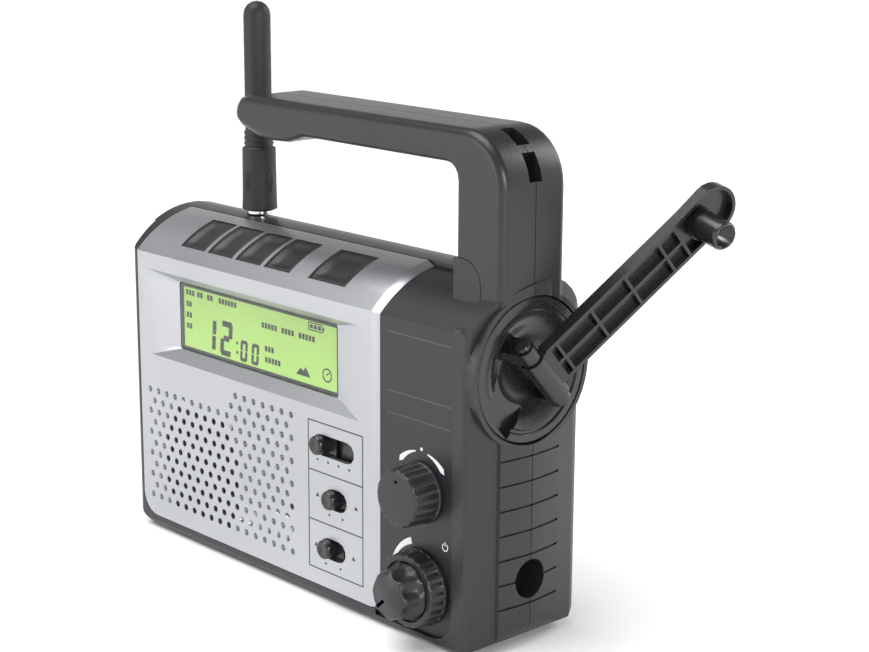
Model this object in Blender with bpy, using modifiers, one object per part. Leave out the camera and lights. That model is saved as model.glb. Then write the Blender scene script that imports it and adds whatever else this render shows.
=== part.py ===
"""Hand-crank emergency radio with a two-way stage, as separate pieces.

Metres, +Z up. X runs along the front, from the lamp end to the crank end. The
front face looks to -Y. The origin is the middle of the housing's underside.
"""

import math

import bmesh
import bpy
from mathutils import Matrix, Vector

MM = 0.001

# Housing
BODY_WIDTH = 210.0 * MM
BODY_DEPTH = 60.0 * MM
CREASE_HEIGHT = 123.4 * MM
CROWN_RADIUS = 51.4 * MM
CROWN_OFFSET = 7.2 * MM
END_CREST = 4.3 * MM
END_STEP = 1.1 * MM
END_PANEL_HALF = 15.6 * MM
CREST_FLAT = 1.9 * MM
LOWER_CORNER = 18.0 * MM
CRANK_END_CORNER = 10.0 * MM
REAR_TOP_CORNER = 22.0 * MM
REAR_FOOT_CORNER = 10.0 * MM
FRONT_FOOT = 2.6 * MM
FRONT_EDGE = 2.5 * MM
REAR_EDGE = 4.0 * MM
WALL = 2.4 * MM
GAP = 0.3 * MM
GROOVE_COUNT = 7
GROOVE_FIRST = 16.0 * MM
GROOVE_PITCH = 9.67 * MM
GROOVE_WIDTH = 0.9 * MM
GROOVE_DEPTH = 0.7 * MM

# Silver bezel
BEZEL_THICK = 2.2 * MM
BEZEL_LEFT_RIM = 3.7 * MM
BEZEL_BOTTOM = 5.0 * MM
BEZEL_SPLIT = 52.1 * MM
BEZEL_BEVEL = 3.7 * MM
BEZEL_CORNER = 9.5 * MM
BEZEL_BACK = 2.4 * MM
SHELL_FACE_WALL = 2.9 * MM

# Display
WINDOW_CENTRE_X = -24.9 * MM
WINDOW_CENTRE_Z = 97.8 * MM
WINDOW_WIDTH = 104.8 * MM
WINDOW_HEIGHT = 29.4 * MM
RECESS_LEFT = 17.9 * MM
RECESS_RIGHT = 20.5 * MM
RECESS_UP = 4.0 * MM
RECESS_DOWN = 4.4 * MM
RECESS_DEPTH = 4.8 * MM
RECESS_WALL = 1.5 * MM
LENS_THICK = 1.3 * MM
DISPLAY_BORDER = 2.6 * MM
DISPLAY_THICK = 2.2 * MM
BACKLIGHT_THICK = 3.4 * MM

# Speaker grille
HOLE_RADIUS = 1.45 * MM
HOLE_PITCH_X = 6.14 * MM
HOLE_PITCH_Z = 4.82 * MM
HOLE_FIRST_X = -94.45 * MM
HOLE_FIRST_Z = 14.3 * MM
HOLE_ROWS = ((3, 7), (2, 8), (2, 9), (2, 8), (2, 9), (2, 8), (2, 9), (2, 8), (3, 7), (3, 6))
SPEAKER_RADIUS = 27.5 * MM
SPEAKER_X = -57.4 * MM
SPEAKER_Z = 36.6 * MM
SPEAKER_DEPTH = 20.3 * MM

# Top buttons
BUTTON_LEFTS = (-76.0 * MM, -57.1 * MM, -38.2 * MM, -19.3 * MM, 9.0 * MM)
BUTTON_WIDTH = 16.2 * MM
TALK_WIDTH = 22.0 * MM
BUTTON_TILT = 27.3
BUTTON_HALF = 9.6 * MM
BUTTON_SINK = 0.4 * MM
BUTTON_HEIGHT = 5.4 * MM
BUTTON_CLEARANCE = 0.35 * MM
BOARD_THICK = 1.6 * MM

# Sliding switches
SLOT_HEIGHT = 8.6 * MM
SLOTS = (
    ("band", 30.05 * MM, 64.0 * MM, 25.0 * MM),
    ("source", 31.4 * MM, 42.9 * MM, 13.4 * MM),
    ("light", 29.5 * MM, 21.8 * MM, 15.4 * MM),
)
SLIDER_RADIUS = 3.9 * MM
SLIDER_PROUD = 3.2 * MM

# Dark control panel
PANEL_SINK = 1.8 * MM
PANEL_THICK = 1.8 * MM
PANEL_BOTTOM = 3.0 * MM
PANEL_STRIP = 7.7 * MM
PANEL_CORNER = 11.0 * MM
TONGUE_TOP = 147.0 * MM
TONGUE_CORNER = 9.0 * MM
KNOB_INSET = 25.85 * MM
TUNING_Z = 58.4 * MM
VOLUME_Z = 20.9 * MM
TUNING_RADIUS = 12.0 * MM
TUNING_HEIGHT = 12.8 * MM
TONE_RADIUS = 15.2 * MM
TONE_HEIGHT = 8.1 * MM
VOLUME_RADIUS = 11.2 * MM
VOLUME_HEIGHT = 16.8 * MM
SHAFT_RADIUS = 3.0 * MM
KNOB_DRAFT = 1.0 * MM

# Handle
HANDLE_HALF_DEPTH = 16.5 * MM
HANDLE_TOP = 194.5 * MM
HANDLE_UNDER = 181.0 * MM
HANDLE_LEFT = -49.5 * MM
HANDLE_OUT = 3.6 * MM
POST_WIDTH = 25.4 * MM
HANDLE_CORNER = 21.5 * MM
HANDLE_BEVEL = 3.6 * MM
HANDLE_WALL = 3.0 * MM
STRAP_SLOT_WIDTH = 6.4 * MM

# Crank
HUB_Z = 106.3 * MM
DISC_RADIUS = 27.8 * MM
DISC_SINK = 0.9 * MM
DISC_DEPTH = 7.4 * MM
DRUM_WALL = 1.8 * MM
AXLE_RADIUS = 4.0 * MM
PIN_OUT = 4.8 * MM
ARM_LENGTH = 80.95 * MM
ARM_HALF = 8.6 * MM
ARM_TIP_AT = 88.5 * MM
ARM_TIP_RADIUS = 9.3 * MM
ARM_BACK = 2.0 * MM
ARM_RIM = 3.0 * MM
ARM_RIM_WALL = 1.4 * MM
ARM_RIBS = (10.1 * MM, 27.7 * MM, 45.2 * MM, 62.7 * MM)
CRANK_TURN = 48.0
ARM_TILT = 15.8
PIN_RADIUS = 1.6 * MM
BARREL_RADIUS = 4.8 * MM
GRIP_RADIUS = 5.75 * MM
GRIP_FROM = 4.0 * MM
GRIP_TO = 16.9 * MM
STOW_RADIUS = 7.7 * MM
STOW_DEPTH = 17.0 * MM

# Gears
GEAR_MODULE = 1.2 * MM
DRIVE_TEETH = 36
IDLER_TEETH = 18
PINION_TEETH = 12
GEAR_INSET = 15.9 * MM
GEAR_WIDTH = 4.0 * MM
IDLER_Y = 12.0 * MM
GENERATOR_RADIUS = 12.0 * MM
GENERATOR_LENGTH = 14.0 * MM

# Antenna
ANTENNA_X = -66.2 * MM
ANTENNA_Y = 10.0 * MM
ANTENNA_TOP = 229.8 * MM
ANTENNA_ROD = 5.75 * MM
ANTENNA_BARREL = 7.2 * MM

# Battery bay and door in the back
BAY_LEFT = -60.0 * MM
BAY_RIGHT = 20.0 * MM
BAY_BOTTOM = 12.0 * MM
BAY_TOP = 72.0 * MM
BAY_DEPTH = 18.0 * MM
DOOR_LEDGE = 2.6 * MM
DOOR_THICK = 2.2 * MM
CELL_RADIUS = 7.1 * MM
CELL_LENGTH = 50.0 * MM

# Lamp in the end away from the crank
LAMP_Z = 100.0 * MM
LAMP_RADIUS = 9.0 * MM

# Feet and screws
FOOT_HEIGHT = 1.2 * MM
FOOT_SINK = 0.5 * MM
FOOT_HALF = (7.0 * MM, 3.6 * MM)
FEET = ((-80.0 * MM, -22.8 * MM), (84.0 * MM, -22.8 * MM), (-80.0 * MM, 15.4 * MM), (84.0 * MM, 15.4 * MM))
SCREW_INSET = 8.0 * MM
POST_SCREW_INSET = 31.0 * MM
SCREW_UPPER = 116.5 * MM
SCREW_LOWER = (13.0 * MM, 11.0 * MM)
SCREW_RADIUS = 1.5 * MM
SCREW_HEAD = 2.9 * MM
BOSS_RADIUS = 4.4 * MM

FRONT = -BODY_DEPTH / 2
BACK = BODY_DEPTH / 2
CROWN_Z = CREASE_HEIGHT - math.sqrt(CROWN_RADIUS**2 - (CROWN_OFFSET - FRONT) ** 2)
CORNER_X = BODY_WIDTH / 2
CREST_X = CORNER_X + END_CREST
DISC_FACE = CREST_X - DISC_SINK
GEAR_FACE = DISC_FACE - GEAR_INSET
HANDLE_RIGHT = CORNER_X + HANDLE_OUT
POST_INNER = HANDLE_RIGHT - POST_WIDTH
KNOB_X = CORNER_X - KNOB_INSET
SCREWS = (
    (SCREW_INSET - CORNER_X, SCREW_LOWER[0]),
    (CORNER_X - SCREW_INSET, SCREW_LOWER[1]),
    (SCREW_INSET - CORNER_X, SCREW_UPPER),
    (CORNER_X - POST_SCREW_INSET, SCREW_UPPER),
)
CAVITY_FRONT = FRONT + BEZEL_THICK + GAP + SHELL_FACE_WALL
PANEL_FRONT = FRONT + PANEL_SINK
PANEL_BACK = PANEL_FRONT + PANEL_THICK
PANEL_LEFT = BEZEL_SPLIT + BEZEL_BEVEL + GAP
PANEL_RIGHT = CORNER_X - PANEL_STRIP
STOW_Z = HUB_Z - ARM_LENGTH


def clear_scene():
    for obj in list(bpy.data.objects):
        bpy.data.objects.remove(obj, do_unlink=True)


def new_collection(name):
    collection = bpy.data.collections.new(name)
    bpy.context.scene.collection.children.link(collection)
    return collection


def new_material(name, colour, roughness, metallic=0.0):
    material = bpy.data.materials.new(name)
    material.use_nodes = True
    shader = material.node_tree.nodes["Principled BSDF"]
    shader.inputs["Base Color"].default_value = (*colour, 1.0)
    shader.inputs["Roughness"].default_value = roughness
    shader.inputs["Metallic"].default_value = metallic
    return material


class Kit:
    """Makes pieces in one collection and cutters in another."""

    def __init__(self):
        self.parts = new_collection("emergency_radio")
        self.cutters = new_collection("cutters")

    def piece(self, name, bm, material):
        obj = self.put(name, bm, self.parts)
        obj.data.materials.append(material)
        return obj

    def cutter(self, name, bm):
        obj = self.put(name, bm, self.cutters)
        obj.hide_render = True
        obj.display_type = "WIRE"
        return obj

    def put(self, name, bm, collection):
        bmesh.ops.recalc_face_normals(bm, faces=bm.faces)
        mesh = bpy.data.meshes.new(name)
        bm.to_mesh(mesh)
        bm.free()
        obj = bpy.data.objects.new(name, mesh)
        collection.objects.link(obj)
        return obj


def boolean(obj, other, operation="DIFFERENCE"):
    modifier = obj.modifiers.new(other.name, "BOOLEAN")
    modifier.operation = operation
    modifier.solver = "EXACT"
    modifier.object = other


def smooth(obj, angle=32.0):
    for polygon in obj.data.polygons:
        polygon.use_smooth = True
    obj.data.set_sharp_from_angle(angle=math.radians(angle))


def place(axis, along, u, v):
    """Point from a position along an axis and the two other coordinates in order."""
    if axis == "x":
        return (along, u, v)
    if axis == "y":
        return (u, along, v)
    return (u, v, along)


def prism(outline, low, high, axis, bm=None, matrix=None):
    """Closed outline carried from low to high along an axis."""
    bm = bm or bmesh.new()
    ends = []
    for along in (low, high):
        points = [Vector(place(axis, along, u, v)) for u, v in outline]
        if matrix:
            points = [matrix @ point for point in points]
        ends.append([bm.verts.new(point) for point in points])
    count = len(outline)
    bm.faces.new(ends[0])
    bm.faces.new(ends[1][::-1])
    for i in range(count):
        j = (i + 1) % count
        bm.faces.new((ends[0][i], ends[1][i], ends[1][j], ends[0][j]))
    return bm


def loft(sections, bm=None):
    """Closed solid through outlines of the same number of points."""
    bm = bm or bmesh.new()
    rings = [[bm.verts.new(point) for point in section] for section in sections]
    bm.faces.new(rings[0])
    bm.faces.new(rings[-1][::-1])
    count = len(rings[0])
    for near, far in zip(rings, rings[1:]):
        for i in range(count):
            j = (i + 1) % count
            bm.faces.new((near[i], far[i], far[j], near[j]))
    return bm


def box(low, high, bm=None, matrix=None):
    outline = ((low[0], low[1]), (high[0], low[1]), (high[0], high[1]), (low[0], high[1]))
    return prism(outline, low[2], high[2], "z", bm, matrix)


def ring(radius, centre=(0.0, 0.0), steps=24, start=0.0, turn=360.0):
    """Points round an arc; a full turn leaves out the repeated last point."""
    count = steps if abs(turn) >= 360.0 else steps + 1
    points = []
    for i in range(count):
        a = math.radians(start + turn * i / steps)
        points.append((centre[0] + radius * math.cos(a), centre[1] + radius * math.sin(a)))
    return points


def rounded(left, right, low, high, radii, steps=4):
    """Rectangle with its own radius at each corner, from the lower left anticlockwise."""
    corners = (
        (left, low, 1, 1, 180.0),
        (right, low, -1, 1, 270.0),
        (right, high, -1, -1, 0.0),
        (left, high, 1, -1, 90.0),
    )
    points = []
    for (x, z, sx, sz, start), radius in zip(corners, radii):
        if radius < 1e-7:
            points.append((x, z))
        else:
            points += ring(radius, (x + sx * radius, z + sz * radius), steps, start, 90.0)
    return points


def stadium(centre, length, height, steps=6):
    half = (length - height) / 2
    right = ring(height / 2, (centre[0] + half, centre[1]), steps, -90.0, 180.0)
    left = ring(height / 2, (centre[0] - half, centre[1]), steps, 90.0, 180.0)
    return right + left


def turned(profile, centre, axis, steps=24, bm=None, matrix=None):
    """Solid of revolution. The profile is (radius, along), closed or ending on the axis."""
    bm = bm or bmesh.new()
    rows = []
    for radius, along in profile:
        if radius < 1e-9:
            ringed = [(0.0, 0.0)]
        else:
            ringed = ring(radius, steps=steps)
        points = [Vector(place(axis, along, centre[0] + u, centre[1] + v)) for u, v in ringed]
        if matrix:
            points = [matrix @ point for point in points]
        rows.append([bm.verts.new(point) for point in points])
    on_axis = len(rows[0]) == 1 or len(rows[-1]) == 1
    pairs = list(zip(rows, rows[1:]))
    if not on_axis:
        pairs.append((rows[-1], rows[0]))
    for near, far in pairs:
        for i in range(steps):
            j = (i + 1) % steps
            if len(near) == 1 and len(far) == 1:
                break
            if len(near) == 1:
                bm.faces.new((near[0], far[i], far[j]))
            elif len(far) == 1:
                bm.faces.new((near[i], far[0], near[j]))
            else:
                bm.faces.new((near[i], far[i], far[j], near[j]))
    return bm


def rod(radius, centre, low, high, axis, steps=16, bm=None, matrix=None):
    return prism(ring(radius, centre, steps, 180.0 / steps), low, high, axis, bm, matrix)


# Housing shapes


def crown_height(y, radius):
    return CROWN_Z + math.sqrt(radius**2 - (y - CROWN_OFFSET) ** 2)


def crown_arc(radius, y_from, y_to, steps):
    start = math.asin((y_from - CROWN_OFFSET) / radius)
    end = math.asin((y_to - CROWN_OFFSET) / radius)
    points = []
    for i in range(steps + 1):
        a = start + (end - start) * i / steps
        points.append((CROWN_OFFSET + radius * math.sin(a), CROWN_Z + radius * math.cos(a)))
    return points


def body_profile():
    """Side outline (y, z) of the housing, from the front foot upwards."""
    rear_start = BACK - REAR_TOP_CORNER
    top = crown_height(rear_start, CROWN_RADIUS)
    points = [(FRONT + FRONT_FOOT, 0.0), (FRONT + FRONT_FOOT * 0.3, FRONT_FOOT * 0.3)]
    points += [(FRONT, FRONT_FOOT)]
    points += crown_arc(CROWN_RADIUS, FRONT, rear_start, 14)
    points += corner_arc((rear_start, top - REAR_TOP_CORNER), REAR_TOP_CORNER, 15.0, 90.0, 5)
    foot = REAR_FOOT_CORNER
    points += corner_arc((BACK - foot, foot), foot, 90.0, 180.0, 5)
    return points


def corner_arc(centre, radius, start, end, steps):
    """Points (y, z) round a corner, in degrees from straight up towards the back."""
    angles = (math.radians(start + (end - start) * i / steps) for i in range(steps + 1))
    return [(centre[0] + radius * math.sin(a), centre[1] + radius * math.cos(a)) for a in angles]


def cavity_profile():
    radius = CROWN_RADIUS - BEZEL_THICK - GAP - 2.2 * MM
    rear = BACK - WALL
    rear_start = rear - REAR_TOP_CORNER
    top = crown_height(rear_start, CROWN_RADIUS - WALL)
    points = [(CAVITY_FRONT, WALL)]
    points += crown_arc(radius, CAVITY_FRONT, 2.0 * MM, 8)
    points += crown_arc(CROWN_RADIUS - WALL, 2.5 * MM, rear_start, 4)
    points += corner_arc((rear_start, top - REAR_TOP_CORNER), REAR_TOP_CORNER, 22.5, 90.0, 3)
    foot = REAR_FOOT_CORNER - WALL
    points += corner_arc((rear - foot, WALL + foot), foot, 90.0, 180.0, 3)
    return points


def end_outline(inset):
    """Plan outline (x, y) of one end, from front to back, for the crank end."""
    step = END_PANEL_HALF
    crest = CREST_X - inset
    drop = END_CREST * 0.28
    points = [
        (CORNER_X - FRONT_EDGE - inset, FRONT),
        (CORNER_X - FRONT_EDGE * 0.5 - inset, FRONT + FRONT_EDGE * 0.13),
        (CORNER_X - FRONT_EDGE * 0.13 - inset, FRONT + FRONT_EDGE * 0.5),
        (CORNER_X - inset, FRONT + FRONT_EDGE),
        (crest - drop - END_STEP, -step - 0.3 * MM),
        (crest - drop, -step),
        (crest - drop * 0.28, -step / 2),
        (crest, -CREST_FLAT),
        (crest, CREST_FLAT),
        (crest - drop * 0.4, step / 2),
        (crest - drop * 1.3, step),
        (crest - drop * 1.3 - END_STEP, step + 0.3 * MM),
        (CORNER_X - inset, BACK - REAR_EDGE),
        (CORNER_X - REAR_EDGE * 0.29 - inset, BACK - REAR_EDGE * 0.29),
        (CORNER_X - REAR_EDGE - inset, BACK),
    ]
    return points


def plan_outline():
    right = end_outline(0.0)
    left = [(-x, y) for x, y in reversed(right)]
    return right + left


def cavity_plan():
    side = CORNER_X - WALL
    crest = CREST_X - WALL - GROOVE_DEPTH
    right = [
        (side, FRONT - MM),
        (crest - 1.2 * MM, -12.0 * MM),
        (crest, -1.1 * MM),
        (crest - 1.4 * MM, 13.0 * MM),
        (side - 1.2 * MM, BACK),
    ]
    return right + [(-x, y) for x, y in reversed(right)]


def handle_outline():
    """Front outline (x, z) of handle bar and post."""
    post_foot = CREASE_HEIGHT
    inner = 6.0 * MM
    points = [(HANDLE_RIGHT, post_foot)]
    centre = (HANDLE_RIGHT - HANDLE_CORNER, HANDLE_TOP - HANDLE_CORNER)
    points += ring(HANDLE_CORNER, centre, 9, 0.0, 90.0)
    points += [
        (HANDLE_LEFT + 10.0 * MM, HANDLE_TOP),
        (HANDLE_LEFT + 4.0 * MM, HANDLE_TOP - 1.2 * MM),
        (HANDLE_LEFT + 1.6 * MM, HANDLE_TOP - 4.0 * MM),
        (HANDLE_LEFT, HANDLE_UNDER + 3.6 * MM),
        (HANDLE_LEFT + 5.0 * MM, HANDLE_UNDER + 0.4 * MM),
        (HANDLE_LEFT + 15.0 * MM, HANDLE_UNDER - 2.6 * MM),
        (HANDLE_LEFT + 24.0 * MM, HANDLE_UNDER - 3.6 * MM),
        (HANDLE_LEFT + 33.0 * MM, HANDLE_UNDER - 3.2 * MM),
        (HANDLE_LEFT + 40.0 * MM, HANDLE_UNDER - 1.2 * MM),
        (HANDLE_LEFT + 44.0 * MM, HANDLE_UNDER),
    ]
    points += ring(inner, (POST_INNER - inner, HANDLE_UNDER - inner), 4, 90.0, -90.0)
    points += [(POST_INNER, post_foot)]
    return points


def strap_slot_outline():
    centre = (HANDLE_RIGHT - HANDLE_CORNER, HANDLE_TOP - HANDLE_CORNER)
    deep = HANDLE_CORNER - 9.5 * MM
    bridge = HANDLE_CORNER - 3.5 * MM
    out = HANDLE_CORNER + 4.0 * MM
    points = ring(out, centre, 3, 8.0, 30.0)
    points += ring(bridge, centre, 1, 38.0, 9.0)
    points += ring(out, centre, 3, 47.0, 28.0)
    points += ring(deep, centre, 6, 75.0, -67.0)
    return points


def outside_front(face_y, radius, bottom, y_end, top):
    """Region in front of a face and above a crown radius, as a (y, z) outline."""
    far = FRONT - 20.0 * MM
    points = [(far, bottom), (face_y, bottom)]
    points += crown_arc(radius, face_y, y_end, 12)
    points += [(y_end, top), (far, top)]
    return points


def wrap_section(x, sink, thick, bottom, y_end, steps=12):
    """Section of a plate that lies on the front face and over the crown."""
    outer_radius = CROWN_RADIUS - sink
    inner_radius = CROWN_RADIUS - sink - thick
    front = FRONT + sink
    outer = [(front, bottom)] + crown_arc(outer_radius, front, y_end, steps)
    inner = [(front + thick, bottom)] + crown_arc(inner_radius, front + thick, y_end, steps)
    return [(x, y, z) for y, z in outer + inner[::-1]]


def button_frame(tilt):
    """(tangent, normal) directions in the y, z plane at a button's middle."""
    a = math.radians(tilt)
    return (math.cos(a), math.sin(a)), (-math.sin(a), math.cos(a))


def button_outline(half, low, radius, steps=6):
    """Side outline (y, z) of a button, with sides along its own normal."""
    tangent, normal = button_frame(BUTTON_TILT)
    local = [(-half, low), (half, low)]
    for i in range(steps + 1):
        u = half - 2 * half * i / steps
        local.append((u, math.sqrt(radius**2 - u**2)))
    return [
        (CROWN_OFFSET + u * tangent[0] + w * normal[0], CROWN_Z + u * tangent[1] + w * normal[1])
        for u, w in local
    ]


def hole_centres():
    for row, (first, count) in enumerate(HOLE_ROWS):
        shift = HOLE_PITCH_X / 2 if row % 2 else 0.0
        for i in range(first, first + count):
            yield HOLE_FIRST_X + shift + i * HOLE_PITCH_X, HOLE_FIRST_Z + row * HOLE_PITCH_Z


def crank_frame():
    """Matrix from arm coordinates (length, width, height) to the radio."""
    turn = math.radians(CRANK_TURN)
    tilt = math.radians(ARM_TILT)
    radial = Vector((0.0, math.sin(turn), math.cos(turn)))
    outward = Vector((1.0, 0.0, 0.0))
    along = math.cos(tilt) * radial + math.sin(tilt) * outward
    width = Vector((0.0, math.cos(turn), -math.sin(turn)))
    height = math.cos(tilt) * outward - math.sin(tilt) * radial
    matrix = Matrix((along, width, height)).transposed().to_4x4()
    matrix.translation = Vector((DISC_FACE + PIN_OUT, 0.0, HUB_Z))
    return matrix


def disc_frame():
    """Matrix for the disc: x along the groove, y along the pin, z outwards."""
    turn = math.radians(CRANK_TURN)
    along = -Vector((0.0, math.sin(turn), math.cos(turn)))
    width = Vector((0.0, math.cos(turn), -math.sin(turn)))
    height = Vector((1.0, 0.0, 0.0))
    matrix = Matrix((along, width, height)).transposed().to_4x4()
    matrix.translation = Vector((DISC_FACE, 0.0, HUB_Z))
    return matrix


def gear_outline(teeth, centre, phase, clearance=0.12 * MM):
    pitch = GEAR_MODULE * teeth / 2
    tip = pitch + 0.85 * GEAR_MODULE - clearance
    root = pitch - 1.15 * GEAR_MODULE
    points = []
    for i in range(teeth):
        base = phase + 360.0 * i / teeth
        for part, radius in ((-0.24, root), (-0.09, tip), (0.09, tip), (0.24, root)):
            a = math.radians(base + part * 360.0 / teeth)
            points.append((centre[0] + radius * math.cos(a), centre[1] + radius * math.sin(a)))
    return points


def with_hole(bm_outline_points, hole, low, high, steps):
    """Plate along X whose outer outline and round hole have matching point counts."""
    bm = bmesh.new()
    rows = []
    for along in (low, high):
        outer = [bm.verts.new((along, u, v)) for u, v in bm_outline_points]
        inner = [bm.verts.new((along, u, v)) for u, v in hole]
        rows.append((outer, inner))
    count = len(bm_outline_points)
    ratio = count // steps
    for index, (outer, inner) in enumerate(rows):
        for k in range(steps):
            fan = [outer[(k * ratio + m) % count] for m in range(ratio + 1)]
            face = fan + [inner[(k + 1) % steps], inner[k]]
            bm.faces.new(face if index else face[::-1])
    for i in range(count):
        j = (i + 1) % count
        bm.faces.new((rows[0][0][i], rows[0][0][j], rows[1][0][j], rows[1][0][i]))
    for i in range(steps):
        j = (i + 1) % steps
        bm.faces.new((rows[0][1][j], rows[0][1][i], rows[1][1][i], rows[1][1][j]))
    return bm


def build_shells(kit, plastic):
    """Front and rear halves of housing, handle and post."""
    hull = kit.cutter("hull", prism(body_profile(), -CREST_X - MM, CREST_X + MM, "x"))
    high = 160.0 * MM + CREASE_HEIGHT
    plan = kit.cutter("hull_plan", prism(plan_outline(), -5.0 * MM, high, "z"))
    boolean(hull, plan, "INTERSECT")
    side = CREST_X + 0.2 * MM
    outline = rounded(-side, side, 0.0, high, (LOWER_CORNER, CRANK_END_CORNER, 0, 0), 7)
    front_outline = kit.cutter("hull_outline", prism(outline, FRONT - MM, BACK + MM, "y"))
    boolean(hull, front_outline, "INTERSECT")
    handle = kit.cutter(
        "handle_form", prism(handle_outline(), -HANDLE_HALF_DEPTH, HANDLE_HALF_DEPTH, "y")
    )
    bevel = handle.modifiers.new("bevel", "BEVEL")
    bevel.width = HANDLE_BEVEL
    bevel.segments = 3
    bevel.limit_method = "ANGLE"
    bevel.angle_limit = math.radians(60)
    boolean(hull, handle, "UNION")

    cavity = kit.cutter("cavity", prism(cavity_profile(), -CREST_X, CREST_X, "x"))
    cavity_ends = kit.cutter("cavity_plan", prism(cavity_plan(), -5.0 * MM, high, "z"))
    boolean(cavity, cavity_ends, "INTERSECT")
    side = CREST_X - WALL
    corners = (LOWER_CORNER - WALL, CRANK_END_CORNER - WALL, 0, 0)
    outline = rounded(-side, side, WALL, high, corners, 5)
    cavity_front = kit.cutter("cavity_outline", prism(outline, FRONT - MM, BACK + MM, "y"))
    boolean(cavity, cavity_front, "INTERSECT")
    boolean(hull, cavity)

    disc_back = DISC_FACE - DISC_DEPTH
    cup_back = disc_back - GAP - WALL
    lip = DISC_RADIUS + GAP
    drum = rod(lip + DRUM_WALL, (0.0, HUB_Z), cup_back, DISC_FACE, "x", 48)
    boolean(hull, kit.cutter("drum", drum), "UNION")
    socket = rod(STOW_RADIUS + 2.0 * MM, (0.0, STOW_Z), CREST_X - STOW_DEPTH - 2.0 * MM,
                 CREST_X - 3.0 * MM, "x", 24)
    boolean(hull, kit.cutter("stow_socket", socket), "UNION")
    pocket = rod(lip, (0.0, HUB_Z), disc_back - GAP, CREST_X + 10 * MM, "x", 48)
    boolean(hull, kit.cutter("disc_pocket", pocket))
    axle = rod(AXLE_RADIUS + GAP, (0.0, HUB_Z), cup_back - 10 * MM, disc_back + MM, "x", 20)
    boolean(hull, kit.cutter("axle_hole", axle))
    stow = rod(STOW_RADIUS, (0.0, STOW_Z), CREST_X - STOW_DEPTH, CREST_X + 10 * MM, "x", 24)
    boolean(hull, kit.cutter("stow_hole", stow))

    crest_drop = END_CREST * 0.28
    groove_line = (
        (CREST_X - crest_drop - GROOVE_DEPTH, -END_PANEL_HALF),
        (CREST_X - GROOVE_DEPTH, -CREST_FLAT * 1.5),
        (CREST_X - GROOVE_DEPTH, CREST_FLAT * 1.5),
        (CREST_X - crest_drop * 1.3 - GROOVE_DEPTH, END_PANEL_HALF),
        (CREST_X + 5 * MM, END_PANEL_HALF),
        (CREST_X + 5 * MM, -END_PANEL_HALF),
    )
    grooves = bmesh.new()
    for i in range(GROOVE_COUNT):
        z = GROOVE_FIRST + i * GROOVE_PITCH
        prism(groove_line, z - GROOVE_WIDTH / 2, z + GROOVE_WIDTH / 2, "z", grooves)
        mirrored = [(-x, y) for x, y in reversed(groove_line)]
        prism(mirrored, z - GROOVE_WIDTH / 2, z + GROOVE_WIDTH / 2, "z", grooves)
    boolean(hull, kit.cutter("end_grooves", grooves))
    lamp = rod(LAMP_RADIUS + GAP, (0.0, LAMP_Z), -CREST_X - 5 * MM, -CORNER_X + 12 * MM, "x", 24)
    boolean(hull, kit.cutter("lamp_hole", lamp))

    far = 1.2 * CREST_X
    top = HANDLE_TOP + 50 * MM
    part = GAP / 2
    front = kit.piece(
        "front_shell", box((-far, FRONT - 9 * MM, -5 * MM), (far, -part, top)), plastic
    )
    boolean(front, hull, "INTERSECT")
    rear = kit.piece("rear_shell", box((-far, part, -5 * MM), (far, BACK + 9 * MM, top)), plastic)
    boolean(rear, hull, "INTERSECT")
    inner = HANDLE_HALF_DEPTH - HANDLE_WALL
    post = box(
        (POST_INNER + HANDLE_WALL, -inner, CREASE_HEIGHT - 6.0 * MM),
        (HANDLE_RIGHT - HANDLE_WALL, inner, HANDLE_UNDER - 9.0 * MM),
    )
    hollows = box(
        (HANDLE_LEFT + 9.0 * MM, -inner, HANDLE_UNDER + HANDLE_WALL),
        (POST_INNER - 4.0 * MM, inner, HANDLE_TOP - HANDLE_WALL),
        post,
    )
    half = STRAP_SLOT_WIDTH / 2
    hollows = kit.cutter("handle_hollows", hollows)
    slot = kit.cutter("strap_slot", prism(strap_slot_outline(), -half, half, "y"))
    seats = bmesh.new()
    for centre in FEET:
        prism(foot_outline(centre, GAP), -5 * MM, FOOT_SINK + GAP, "z", seats)
    seats = kit.cutter("foot_seats", seats)
    for shell in (front, rear):
        boolean(shell, hollows)
        boolean(shell, slot)
        boolean(shell, seats)
    cut_front_shell(kit, front)
    cut_rear_shell(kit, rear)


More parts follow.
